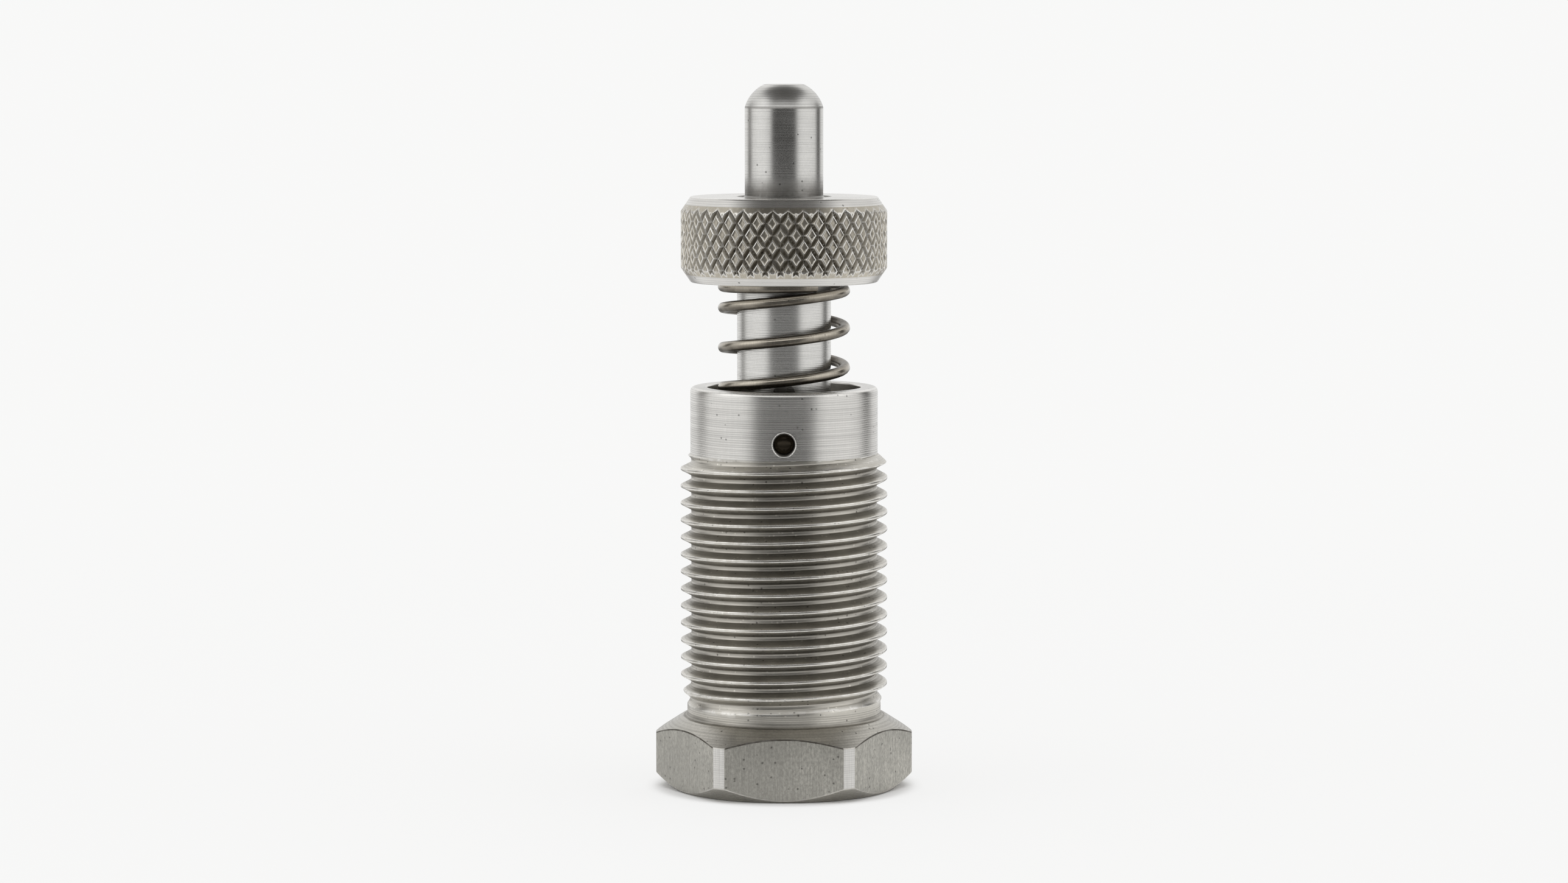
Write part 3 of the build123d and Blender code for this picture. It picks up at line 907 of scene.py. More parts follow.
def threaded_body_skin(sizes):
    """The whole skin of the threaded body, from the foot face over the rim and down to the drill point."""
    skin = Skin()
    angles = body_angles()
    bar = hexagon_radius(angles, sizes)
    turned = sizes.turned_diameter / 2
    foot, shoulder = sizes.foot_face / 2, sizes.shoulder_face / 2
    neck, fillet = sizes.neck_diameter / 2, sizes.neck_fillet
    chamfer_start = (bar - foot) / (turned - foot) * sizes.foot_chamfer
    chamfer_end = sizes.hex_height - (bar - shoulder) / (turned - shoulder) * sizes.shoulder_chamfer

    foot_path = soften(
        [(0.0, 0.0), (foot * 0.5, 0.0), (foot, 0.0), (bar, chamfer_start), (bar, sizes.hex_height / 2)],
        [0, 0, 0.1 * MM, 0.07 * MM, 0],
        steps=3,
    )
    side_path = soften(
        [
            (bar, sizes.hex_height / 2),
            (bar, chamfer_end),
            (shoulder, sizes.hex_height),
            (neck + fillet, sizes.hex_height),
        ],
        [0, 0.07 * MM, 0.03 * MM, 0],
        steps=3,
    )
    rings = [skin.ring(circle(angles, *row)) for row in foot_path]
    split_low = len(rings) - 1
    on_flat = np.tile(np.abs(np.arange(COLUMNS_PER_FLAT) - FLAT_MIDDLE) < CORNER_COLUMN, FLAT_COUNT)
    burr_rows = (1, 2, 3)
    for number, row in enumerate(side_path[1:]):
        rings.append(skin.ring(circle(angles, *row), on_flat * (1.0 if number in burr_rows else 0.0)))
    for number in range(len(rings) - 1):
        on_side = split_low - 2 <= number < split_low + 2
        if on_side:
            skin.band(rings[number], rings[number + 1], HEXAGON, skip=corner_columns())
            skin.band(rings[number], rings[number + 1], CORNER, skip=flat_columns())
        else:
            skin.band(rings[number], rings[number + 1], CHAMFER)

    # Hollow between hexagon and neck, with painted shade that is darkest at the hexagon and fades up the neck
    neck_rings = [rings[-1]]
    for step in range(1, FILLET_STEPS + 1):
        part = math.pi / 2 * step / FILLET_STEPS
        radius = neck + fillet * (1 - math.sin(part))
        height = sizes.hex_height + fillet * (1 - math.cos(part))
        neck_rings.append(skin.ring(circle(angles, radius, height), 0.7 - 0.08 * step))
    neck_rings.append(skin.ring(circle(angles, neck, sizes.hex_height + fillet * 1.6), 0.1))
    thread_low, thread_high = add_thread(skin, angles, sizes)
    neck_rings.append(thread_low)
    for near, far in zip(neck_rings[:-1], neck_rings[1:]):
        skin.band(near, far, NECK)

    # Collar, with the rows that the cross hole needs
    collar = sizes.collar_diameter / 2
    hole_heights = np.linspace(-COLLAR_HOLE_HALF, COLLAR_HOLE_HALF, HOLE_ROWS_OUTSIDE + 1) + sizes.cross_hole_height
    collar_rings = [thread_high]
    hole_first = len(collar_rings)
    collar_rings += [skin.ring(circle(angles, collar, h)) for h in hole_heights]
    hole_last = len(collar_rings) - 1
    pocket, bore = sizes.pocket_diameter / 2, sizes.bore_diameter / 2
    rim = soften(
        [
            (collar, hole_heights[-1]),
            (collar, (hole_heights[-1] + sizes.rim_height) / 2),
            (collar, sizes.rim_height),
            (pocket, sizes.rim_height),
            (pocket, sizes.pocket_floor),
            (bore, sizes.pocket_floor),
            (bore, sizes.cross_hole_height + BORE_HOLE_HALF),
        ],
        [0, 0, sizes.rim_round, 0.14 * MM, 0.12 * MM, 0.1 * MM, 0],
        steps=5,
    )
    collar_rings += [skin.ring(circle(angles, *row)) for row in rim[1:]]
    rim_heights = [float(np.max(row[1])) for row in rim]
    rim_radii = [float(np.max(row[0])) for row in rim]
    column_low = FLAT_MIDDLE - COLLAR_HOLE_COLUMNS
    column_high = FLAT_MIDDLE + COLLAR_HOLE_COLUMNS
    for number in range(len(collar_rings) - 1):
        in_hole = hole_first <= number < hole_last
        place = number - hole_last
        # The pocket's inside takes the darker bore steel, as painted shade
        inside = (
            place >= 0
            and rim_radii[place] <= pocket + 0.001 * MM
            and rim_heights[place] < sizes.rim_height - 0.1 * MM
        )
        skin.band(
            collar_rings[number],
            collar_rings[number + 1],
            BORE if inside else COLLAR,
            skip=range(column_low, column_high) if in_hole else (),
        )

    # Guide bore down to the drill point
    bore_heights = sizes.cross_hole_height + np.linspace(BORE_HOLE_HALF, -BORE_HOLE_HALF, HOLE_ROWS_INSIDE + 1)
    bore_rings = [collar_rings[-1]] + [skin.ring(circle(angles, bore, h)) for h in bore_heights[1:]]
    bore_rings.append(skin.ring(circle(angles, bore, BORE_MIDDLE)))
    bore_rings.append(skin.ring(circle(angles, bore, sizes.bore_bottom)))
    bore_rings.append(skin.ring(circle(angles, 0.0, sizes.drill_point)))
    inner_low, inner_high = FLAT_MIDDLE - BORE_HOLE_COLUMNS, FLAT_MIDDLE + BORE_HOLE_COLUMNS
    for number in range(len(bore_rings) - 1):
        skin.band(
            bore_rings[number],
            bore_rings[number + 1],
            BORE,
            skip=range(inner_low, inner_high) if number < HOLE_ROWS_INSIDE else (),
        )

    collar_loop = hole_loop(collar_rings, hole_first, hole_last, column_low, column_high)
    bore_loop = hole_loop(bore_rings, HOLE_ROWS_INSIDE, 0, inner_low, inner_high)
    add_cross_hole(skin, collar_loop, bore_loop, sizes)
    return skin


class PLUNGER_OT_threaded_body(bpy.types.Operator):
    """Build the threaded body with its hexagon foot, thread, collar, pocket and cross hole"""

    bl_idname = "plunger.threaded_body"
    bl_label = "Threaded body"

    def execute(self, context):
        skin = threaded_body_skin(context.scene.body_sizes)
        finishes = [hexagon_steel(), chamfer_steel(), thread_steel(), collar_steel()]
        finishes += [shaded_bore_steel(), corner_steel(), neck_steel()]
        piece = new_piece("body_turned", skin, finishes)
        stand_for(piece, "threaded_body", "body")
        return {"FINISHED"}


# ---------------------------------------------------------------------------
# Plunger pin
# ---------------------------------------------------------------------------

STEM_COLUMNS = 160
TAPER_RINGS = 25
# The pin's finishes, in the order of its materials
GROUND, TAPER = range(2)
# Rings that keep the faces small where the slot is milled, in millimetres of height
SLOT_RINGS = np.arange(29.0, 37.0, 0.5)
# Rings under the knob and over the nose's root, where the painted shade fades out, in millimetres from there
UNDER_KNOB_RINGS = (1.5, 1.1, 0.7, 0.3)
NOSE_ROOT_RINGS = (0.5, 1.0, 1.5, 2.0, 2.5, 3.0, 3.5, 4.5)


def slot_cutter(sizes):
    """A long block with round ends that mills the stem's slot."""
    half = sizes.slot_width / 2
    low, high = sizes.slot_bottom + half, sizes.slot_top - half
    upper = np.linspace(0, math.pi, 17)
    outline = [(half * math.cos(a), high + half * math.sin(a)) for a in upper]
    outline += [(-half * math.cos(a), low - half * math.sin(a)) for a in upper]
    count = len(outline)
    near = [(x, -sizes.stem_diameter, z) for x, z in outline]
    far = [(x, -sizes.slot_floor, z) for x, z in outline]
    faces = [list(range(count)), list(range(2 * count - 1, count - 1, -1))]
    faces += [[i, i + count, (i + 1) % count + count, (i + 1) % count] for i in range(count)]
    mesh = bpy.data.meshes.new("slot_cutter")
    mesh.from_pydata(near + far, [], faces)
    cutter = bpy.data.objects.new("slot_cutter", mesh)
    bpy.context.scene.collection.objects.link(cutter)
    return cutter


def mill(piece, cutter):
    """Takes the cutter's shape out of the piece for good."""
    cut = piece.modifiers.new("milled", "BOOLEAN")
    cut.operation = "DIFFERENCE"
    cut.solver = "EXACT"
    cut.object = cutter
    depsgraph = bpy.context.evaluated_depsgraph_get()
    milled = bpy.data.meshes.new_from_object(piece.evaluated_get(depsgraph))
    piece.modifiers.clear()
    old = piece.data
    piece.data = milled
    milled.name = old.name
    bpy.data.meshes.remove(old)
    spare = cutter.data
    bpy.data.objects.remove(cutter)
    bpy.data.meshes.remove(spare)


def pin_painted_shade(heights, taper_start, sizes):
    """Painted shade on the nose just over the knob, painted shadow on the stem under the knob, and a painted dark
    line where the taper starts.
    """
    root = 0.8 * (1 - smooth_step(heights, sizes.nose_root, sizes.nose_root + 2.2 * MM))
    under_knob = 0.75 * smooth_step(heights, sizes.knob_bottom - 1.4 * MM, sizes.knob_bottom)
    painted_shade = np.where(heights > sizes.knob_top, root, 0.0)
    painted_shade += np.where(heights < sizes.knob_bottom + 0.01 * MM, under_knob, 0.0)
    painted_shade += np.where(np.abs(heights - taper_start) < 0.07 * MM, 0.5, 0.0)
    return painted_shade


def plunger_pin_skin(sizes):
    """Turned skin of nose, seat and stem."""
    skin = Skin()
    angles = np.linspace(0, 2 * math.pi, STEM_COLUMNS, endpoint=False)
    stem, seat, nose = sizes.stem_diameter / 2, sizes.seat_diameter / 2, sizes.nose_diameter / 2
    tip, taper_start = sizes.nose_tip / 2, sizes.nose_top - sizes.nose_taper
    path = [(0.0, sizes.stem_bottom), (stem - sizes.stem_chamfer, sizes.stem_bottom),
            (stem, sizes.stem_bottom + sizes.stem_chamfer), (stem, 28 * MM)]
    path += [(stem, h * MM) for h in SLOT_RINGS]
    path += [(stem, sizes.knob_bottom - h * MM) for h in UNDER_KNOB_RINGS]
    path += [(stem, sizes.knob_bottom), (seat, sizes.knob_bottom), (seat, sizes.seat_top), (nose, sizes.nose_root)]
    path += [(nose, sizes.nose_root + h * MM) for h in NOSE_ROOT_RINGS]
    reach = [0, 0.05 * MM, 0.05 * MM] + [0] * (len(path) - 3)

    # The taper is an arc that bulges out from the straight cone
    chord = np.array([tip - nose, sizes.nose_taper])
    span = float(np.hypot(*chord))
    bulge = sizes.nose_bulge
    arc_radius = (span**2 / 4 + bulge**2) / (2 * bulge)
    outward = np.array([chord[1], -chord[0]]) / span
    centre = np.array([nose, taper_start]) + chord / 2 - outward * (arc_radius - bulge)
    start = math.atan2(taper_start - centre[1], nose - centre[0])
    end = math.atan2(sizes.nose_top - centre[1], tip - centre[0])
    for angle in np.linspace(start, end, TAPER_RINGS):
        path.append((centre[0] + arc_radius * math.cos(angle), centre[1] + arc_radius * math.sin(angle)))
    reach += [0.06 * MM] + [0] * (TAPER_RINGS - 2) + [0.05 * MM]
    path += [(tip * 0.5, sizes.nose_top), (0.0, sizes.nose_top)]
    reach += [0, 0]

    rows = soften(path, reach, steps=3)
    heights = np.array([float(np.max(row[1])) for row in rows])
    painted_shade = pin_painted_shade(heights, taper_start, sizes)
    rings = [skin.ring(circle(angles, *row), shade_here) for row, shade_here in zip(rows, painted_shade)]
    for number in range(len(rings) - 1):
        on_taper = heights[number] > taper_start - 0.001 * MM
        skin.band(rings[number], rings[number + 1], TAPER if on_taper else GROUND)
    return skin


class PLUNGER_OT_plunger_pin(bpy.types.Operator):
    """Build the plunger pin with its nose, the seat for the knob and the slotted stem"""

    bl_idname = "plunger.plunger_pin"
    bl_label = "Plunger pin"

    def execute(self, context):
        sizes = context.scene.plunger_sizes
        piece = new_piece("pin_ground", plunger_pin_skin(sizes), [ground_steel(), taper_steel()])
        mill(piece, slot_cutter(sizes))
        piece.data.set_sharp_from_angle(angle=math.radians(30))
        stand_for(piece, "plunger_pin", "plunger")
        return {"FINISHED"}


# ---------------------------------------------------------------------------
# Knurled knob
# ---------------------------------------------------------------------------

KNURL_STEPS = 10
KNURL_TURN = math.radians(2.34)
# Share of the way to a diamond's middle that the groove's flank takes
GROOVE_SHARE = 0.42
# The knob's finishes, in the order of its materials
KNURLED, FACED = range(2)


def knurl_relief(angles, height, sizes):
    """Depth of the knurling at each angle, its painted shade from 0 to 1, and how far inward in its diamond that is.
    """
    around = (angles - FRONT - KNURL_TURN) * sizes.knurl_count / (2 * math.pi)
    along = (height - sizes.knurl_height) / sizes.knurl_rise
    rising, falling = around + along, around - along
    to_rising = 1 - 2 * np.abs(rising - np.round(rising))
    to_falling = 1 - 2 * np.abs(falling - np.round(falling))
    inward = np.minimum(to_rising, to_falling)
    groove = np.clip(1 - inward / GROOVE_SHARE, 0, 1)
    dimple = smooth_step(inward, 0.5, 0.72)
    ring = smooth_step(inward, 0.5, 0.64) * (1 - 0.6 * smooth_step(inward, 0.76, 0.92))
    # Painted shade in the grooves and in a ring round each dimple
    painted_shade = np.maximum(smooth_step(groove, 0.05, 0.6), 0.7 * ring)
    return groove * sizes.knurl_depth + dimple * sizes.knurl_dimple, painted_shade, inward


def knob_skin(sizes):
    """Skin of the knob: a closed ring with its bore, faces, chamfers and knurling."""
    skin = Skin()
    count = sizes.knurl_count * 2 * KNURL_STEPS
    angles = FRONT + KNURL_TURN + np.linspace(0, 2 * math.pi, count, endpoint=False)
    low, high = sizes.knob_bottom, sizes.knob_top
    outer, face, seat = sizes.knob_diameter / 2, sizes.knob_face / 2, sizes.seat_diameter / 2
    slope = (outer - face) / sizes.knob_chamfer
    step = sizes.knurl_rise / 2 / KNURL_STEPS
    edge = 0.06 * MM
    first_row = math.ceil((low + edge - sizes.knurl_height) / step)
    last_row = math.floor((high - edge - sizes.knurl_height) / step)
    heights = sizes.knurl_height + np.arange(first_row, last_row + 1) * step
    heights = heights[(heights > low + 1.5 * edge) & (heights < high - 1.5 * edge)]

    rings = [skin.ring(circle(angles, seat, low)), skin.ring(circle(angles, face - 4 * edge, low)),
             skin.ring(circle(angles, face - edge, low)),
             skin.ring(circle(angles, face - 0.15 * edge, low + 0.3 * edge)),
             skin.ring(circle(angles, face + slope * edge, low + edge))]
    marks = [np.zeros(count)] * len(rings)
    knurl_first = len(rings) - 1
    for height in heights:
        depth, painted_shade, inward = knurl_relief(angles, height, sizes)
        envelope = min(outer, face + slope * (height - low), face + slope * (high - height))
        radius = np.minimum(envelope, outer - depth)
        # The painted shade is kept only where the relief is cut in
        painted_shade = painted_shade * smooth_step(envelope - radius, 0.0, 0.05 * MM)
        rings.append(skin.ring(circle(angles, radius, height), painted_shade))
        marks.append(inward)
    knurl_last = len(rings) - 1
    # The last two rings, in the bore's chamfer, carry painted shade round the nose
    rings += [skin.ring(circle(angles, face + slope * edge, high - edge)),
              skin.ring(circle(angles, face - 0.15 * edge, high - 0.3 * edge)),
              skin.ring(circle(angles, face - edge, high)), skin.ring(circle(angles, face - 4 * edge, high)),
              skin.ring(circle(angles, seat + sizes.bore_chamfer + 0.2 * MM, high)),
              skin.ring(circle(angles, seat + sizes.bore_chamfer, high), 0.8),
              skin.ring(circle(angles, seat, high - sizes.bore_chamfer), 1.0)]
    marks += [np.zeros(count)] * 7
    plain_low, plain_high = low + 0.55 * sizes.knob_chamfer, high - 0.55 * sizes.knob_chamfer
    for number in range(len(rings) - 1):
        near, far = rings[number], rings[number + 1]
        if knurl_first <= number <= knurl_last:
            height = heights[min(max(number - knurl_first - 1, 0), len(heights) - 1)]
            finish = KNURLED if plain_low <= height <= plain_high else FACED
            add_split_band(skin, near, far, marks[number], marks[number + 1], finish)
        else:
            skin.band(near, far, FACED)
    skin.band(rings[-1], rings[0], FACED)
    return skin


def add_split_band(skin, near, far, near_mark, far_mark, finish):
    """Triangles between two rings, split along the grooves and rims that cross them."""
    after = np.roll(np.arange(len(near)), -1)
    a, b, c, d = near, near[after], far[after], far
    along_ac = np.abs(near_mark - far_mark[after])
    along_bd = np.abs(near_mark[after] - far_mark)
    use_ac = along_ac <= along_bd
    skin.quads(a, b, np.where(use_ac, c, d), np.where(use_ac, c, d), finish)
    skin.quads(np.where(use_ac, a, b), c, d, d, finish)


class PLUNGER_OT_knurled_knob(bpy.types.Operator):
    """Build the knurled knob with its diamonds, grooves and turned chamfers"""

    bl_idname = "plunger.knurled_knob"
    bl_label = "Knurled knob"

    def execute(self, context):
        skin = knob_skin(context.scene.plunger_sizes)
        piece = new_piece("knob_knurled", skin, [knurl_steel(), knob_face_steel()], 30.0)
        stand_for(piece, "knurled_knob", "plunger")
        return {"FINISHED"}


# ---------------------------------------------------------------------------
# Return spring
# ---------------------------------------------------------------------------

WIRE_SIDES = 24
POINTS_PER_TURN = 40
POINTS_AT_A_TIME = 500
SPRING_END_ANGLE = math.radians(-59.0)
# The painted highlight line lies this far over the outside of the wire, and fades out over this many radians
HIGHLIGHT_SIDE = math.radians(22.0)
HIGHLIGHT_SPREAD = 0.5


def wire_centres(sizes, body):
    """Points along the wire's centre line from the lower end, and the turns counted to each."""
    rise = sizes.knob_bottom - body.pocket_floor - sizes.wire_diameter + 2 * sizes.grind_depth
    turns, closed, blend, tight = sizes.spring_turns, sizes.closed_turns, sizes.blend_turns, sizes.closed_pitch
    open_pitch = (rise - tight * (2 * closed + blend)) / (turns - 2 * closed - blend)
    counted = np.linspace(0, turns, round(turns * POINTS_PER_TURN) + 1)

    def from_end(t):
        part = (t - closed) / blend
        middle = blend * (np.clip(part, 0, 1) ** 3 - np.clip(part, 0, 1) ** 4 / 2)
        extra = np.where(part < 1, middle, blend * (part - 0.5))
        return tight * t + (open_pitch - tight) * extra

    height = np.where(counted <= turns / 2, from_end(counted), rise - from_end(turns - counted))
    height = height + body.pocket_floor + sizes.wire_diameter / 2 - sizes.grind_depth
    angle = SPRING_END_ANGLE - 2 * math.pi * (turns - counted)
    radius = sizes.coil_diameter / 2
    return np.stack([radius * np.cos(angle), radius * np.sin(angle), height], axis=1), counted


def spring_skin(sizes, body):
    """Skin of the wire, swept along its centre line and ground flat at both ends, with a painted highlight along its
    upper outside and painted shade round the rest."""
    skin = Skin()
    centres, counted = wire_centres(sizes, body)
    tangents = np.gradient(centres, axis=0)
    tangents /= np.linalg.norm(tangents, axis=1)[:, None]
    outward = centres * (1, 1, 0)
    outward /= np.linalg.norm(outward, axis=1)[:, None]
    upward = np.cross(outward, tangents)
    upward /= np.linalg.norm(upward, axis=1)[:, None]
    outward = np.cross(tangents, upward)
    sides = np.linspace(0, 2 * math.pi, WIRE_SIDES, endpoint=False)
    radius = sizes.wire_diameter / 2
    rings = []
    for number, centre in enumerate(centres):
        section = np.outer(np.cos(sides), outward[number]) - np.outer(np.sin(sides), upward[number])
        points = centre + radius * section
        side = np.arctan2(section @ upward[number], section @ outward[number])
        # A painted highlight along the upper outside; the rest of the wire gets painted shade
        painted_highlight = np.exp(-(((side - HIGHLIGHT_SIDE) / HIGHLIGHT_SPREAD) ** 2))
        points[:, 2] = np.clip(points[:, 2], body.pocket_floor, sizes.knob_bottom)
        rings.append(skin.ring(points, 0.9 * (1 - painted_highlight)))
    for near, far in zip(rings[:-1], rings[1:]):
        skin.band(far, near)
    first_end, last_end = (skin.ring(np.repeat([centres[end]], WIRE_SIDES, axis=0)) for end in (0, -1))
    skin.band(rings[0], first_end)
    skin.band(last_end, rings[-1])
    return skin


def follow_knob(piece, sizes, body):
    """Bakes the spring's placement into its points and finds the nearest point of the centre line for each; no point
    is moved."""
    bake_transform(piece)
    centres, counted = wire_centres(sizes, body)
    points = np.array([v.co for v in piece.data.vertices], float).reshape(-1, 3)
    nearest = np.empty(len(points), int)
    for start in range(0, len(points), POINTS_AT_A_TIME):
        part = points[start : start + POINTS_AT_A_TIME]
        distance = ((part[:, None, :] - centres[None, :, :]) ** 2).sum(2)
        nearest[start : start + POINTS_AT_A_TIME] = distance.argmin(1)


class PLUNGER_OT_return_spring(bpy.types.Operator):
    """Build the return spring with its closed and ground ends"""

    bl_idname = "plunger.return_spring"
    bl_label = "Return spring"

    def execute(self, context):
        sizes, body = context.scene.plunger_sizes, context.scene.body_sizes
        piece = new_piece("spring_coiled", spring_skin(sizes, body), [wire_steel()], 50.0)
        stand_for(piece, "return_spring", None)
        follow_knob(piece, sizes, body)
        return {"FINISHED"}


# ---------------------------------------------------------------------------
# Retaining pin
# ---------------------------------------------------------------------------

DOWEL_COLUMNS = 64
DOME_STEPS = 10


def dowel_skin(sizes, body):
    """Skin of the dowel, which lies along Y with a domed outer end."""
    skin = Skin()
    angles = np.linspace(0, 2 * math.pi, DOWEL_COLUMNS, endpoint=False)
    radius, chamfer = sizes.dowel_diameter / 2, sizes.dowel_chamfer
    inner, outer = sizes.dowel_inner, sizes.dowel_outer
    path = soften(
        [(0.0, inner), (radius - chamfer, inner), (radius, inner + chamfer), (radius, outer - chamfer)],
        [0, 0.04 * MM, 0.04 * MM, 0],
        steps=3,
    )
    rows = [(np.max(r), np.max(h)) for r, h in path]
    for step in range(1, DOME_STEPS + 1):
        part = math.pi / 2 * step / DOME_STEPS
        reach = radius * math.cos(part) ** 0.8 if step < DOME_STEPS else 0.0
        rows.append((reach, outer - chamfer * (1 - math.sin(part))))
    rings = []
    for reach, distance in rows:
        flat = circle(angles, reach, distance)
        rings.append(skin.ring(np.stack([flat[:, 0], -flat[:, 2], body.cross_hole_height + flat[:, 1]], axis=1)))
    for near, far in zip(rings[:-1], rings[1:]):
        skin.band(near, far)
    return skin


class PLUNGER_OT_retaining_pin(bpy.types.Operator):
    """Build the dowel that keeps the plunger in its body"""

    bl_idname = "plunger.retaining_pin"
    bl_label = "Retaining pin"

    def execute(self, context):
        skin = dowel_skin(context.scene.plunger_sizes, context.scene.body_sizes)
        piece = new_piece("dowel_pressed", skin, [dowel_steel()])
        stand_for(piece, "retaining_pin", "body")
        return {"FINISHED"}


# ---------------------------------------------------------------------------
# Studio: floor, backdrop, lamps, flags and camera
# ---------------------------------------------------------------------------

# Distances from the axis: where the foot's shadow ends and the floor starts to glow, and where it is all backdrop
SHADOW_EDGE = 10.3 * MM
GLOW_START = 12.3 * MM
GLOW_NEAR = 20 * MM
GLOW_FAR = 300 * MM
# Heights between which a standing card may be thinner: where that belt starts and is full, and where it ends
BELT_LOW = (12 * MM, 24 * MM)
BELT_HIGH = (30 * MM, 42 * MM)


def floor_material(backdrop):
    """Matt pale floor that keeps the plunger's shadow and turns into the backdrop further out."""
    material = bpy.data.materials.new("studio_floor")
    material.use_nodes = True
    tree = material.node_tree
    shader = tree.nodes["Principled BSDF"]
    shader.inputs["Base Color"].default_value = (*backdrop, 1.0)
    shader.inputs["Roughness"].default_value = 0.9
    shader.inputs["Specular IOR Level"].default_value = 0.0
    glow = node(tree, "ShaderNodeEmission")
    glow.inputs["Color"].default_value = (*backdrop, 1.0)
    glow.inputs["Strength"].default_value = 1.0
    length_node = node(tree, "ShaderNodeVectorMath", operation="LENGTH")
    feed(tree, length_node.inputs[0], node(tree, "ShaderNodeNewGeometry").outputs["Position"])
    away = length_node.outputs["Value"]
    close = remap(tree, away, SHADOW_EDGE, GLOW_START, 0.0, 0.8)
    share_of_glow = math_node(tree, "MAXIMUM", close, remap(tree, away, GLOW_NEAR, GLOW_FAR, 0.7, 1.0))
    share_of_glow = math_node(tree, "MINIMUM", share_of_glow, remap(tree, away, SHADOW_EDGE, GLOW_START + 0.2 * MM))
    blend = node(tree, "ShaderNodeMixShader")
    feed(tree, blend.inputs[0], math_node(tree, "MULTIPLY", share_of_glow, seen_directly(tree)))
    feed(tree, blend.inputs[1], shader.outputs[0])
    feed(tree, blend.inputs[2], glow.outputs[0])
    feed(tree, tree.nodes["Material Output"].inputs["Surface"], blend.outputs[0])
    return material


def seen_directly(tree):
    """1 for what the camera sees, directly, in metal or through glass."""
    path = node(tree, "ShaderNodeLightPath")
    seen = math_node(tree, "MAXIMUM", path.outputs["Is Camera Ray"], path.outputs["Is Glossy Ray"])
    return math_node(tree, "MAXIMUM", seen, path.outputs["Is Transmission Ray"])


def make_floor(backdrop):
    """A wide round floor at height 0."""
    rings, columns, reach = 12, 96, 6.0
    angles = np.linspace(0, 2 * math.pi, columns, endpoint=False)
    skin = Skin()
    rows = [skin.ring(circle(angles, reach * (1 - number / rings) ** 2, 0.0)) for number in range(rings + 1)]
    for near, far in zip(rows[:-1], rows[1:]):
        skin.band(near, far)
    new_piece("floor", skin, [floor_material(backdrop)])


def flag_material(name, shade):
    """A dull card that is only seen in reflections, soft at its edges."""
    material = bpy.data.materials.new(name)
    material.use_nodes = True
    tree = material.node_tree
    tree.nodes.remove(tree.nodes["Principled BSDF"])
    output = tree.nodes["Material Output"]
    cover = node(tree, "ShaderNodeAttribute", attribute_name="cover")
    clear = node(tree, "ShaderNodeBsdfTransparent")
    glow = node(tree, "ShaderNodeEmission")
    glow.inputs["Color"].default_value = (shade, shade * 0.97, shade * 0.93, 1.0)
    blend = node(tree, "ShaderNodeMixShader")
    feed(tree, blend.inputs[0], cover.outputs["Fac"])
    feed(tree, blend.inputs[1], clear.outputs[0])
    feed(tree, blend.inputs[2], glow.outputs[0])
    feed(tree, output.inputs["Surface"], blend.outputs[0])
    return material


def make_flag(name, points, cover, shade):
    """A card seen only in reflections. Points and cover are grids, and cover is 0 where the card is gone."""
    rows, columns = cover.shape
    grid = np.arange(rows * columns).reshape(rows, columns)
    faces = np.stack([grid[:-1, :-1], grid[:-1, 1:], grid[1:, 1:], grid[1:, :-1]], axis=-1).reshape(-1, 4)
    mesh = bpy.data.meshes.new(name)
    mesh.from_pydata(points.reshape(-1, 3).tolist(), [], faces.tolist())
    attribute = mesh.attributes.new("cover", "FLOAT", "POINT")
    attribute.data.foreach_set("value", cover.ravel().astype(np.float32))
    mesh.materials.append(flag_material(name, shade))
    flag = bpy.data.objects.new(name, mesh)
    bpy.context.scene.collection.objects.link(flag)
    flag.visible_camera = False
    flag.visible_diffuse = False
    flag.visible_shadow = False
    flag.visible_transmission = False


def standing_flag(name, middle, half_width, soft, distance, high, shade, thin=0.0):
    """A curved card that stands round the plunger. Angles are degrees from the front, and thin lets light through
    the belt of it that the collar and the stem mirror."""
    turn = np.linspace(-half_width - soft, half_width + soft, 41)
    height = np.linspace(0.0, high, 25)
    angle = FRONT + np.radians(middle + turn)
    points = np.array([[(distance * math.cos(a), distance * math.sin(a), h) for a in angle] for h in height])
    sides = 1 - smooth_step(np.abs(turn), half_width - soft, half_width + soft)
    belt = smooth_step(height, *BELT_LOW) * (1 - smooth_step(height, *BELT_HIGH))
    top = smooth_step(high - height, 0.0, 0.2 * high) * (1 - thin * belt)
    make_flag(name, points, np.outer(top, sides), shade)


def floor_flag(name, middle, half_width, soft, near, far, thin, shade):
    """A fan-shaped card just over the floor. Angles are degrees from the front, and thin lets light through it."""
    turn = np.linspace(-half_width - soft, half_width + soft, 41)
    reach = np.linspace(near, far, 13)
    angle = FRONT + np.radians(middle + turn)
    points = np.array([[(r * math.cos(a), r * math.sin(a), 0.4 * MM) for a in angle] for r in reach])
    sides = 1 - smooth_step(np.abs(turn), half_width - soft, half_width + soft)
    start = smooth_step(reach, near, near + 0.2 * (far - near)) * (1 - thin)
    if middle:
        # Away from the front the card fades out at its far end too
        start = start * smooth_step(far - reach, 0.0, 0.5 * (far - near))
    make_flag(name, points, np.outer(start, sides), shade)


def lying_flag(name, low, high, soft, height, shade):
    """A level card over the plunger, between two corners."""
    x, y = np.linspace(low[0], high[0], 25), np.linspace(low[1], high[1], 25)
    points = np.array([[(a, b, height) for a in x] for b in y])
    across = smooth_step(x - low[0], 0, soft) * smooth_step(high[0] - x, 0, soft)
    along = smooth_step(y - low[1], 0, soft) * smooth_step(high[1] - y, 0, soft)
    make_flag(name, points, np.outer(along, across), shade)


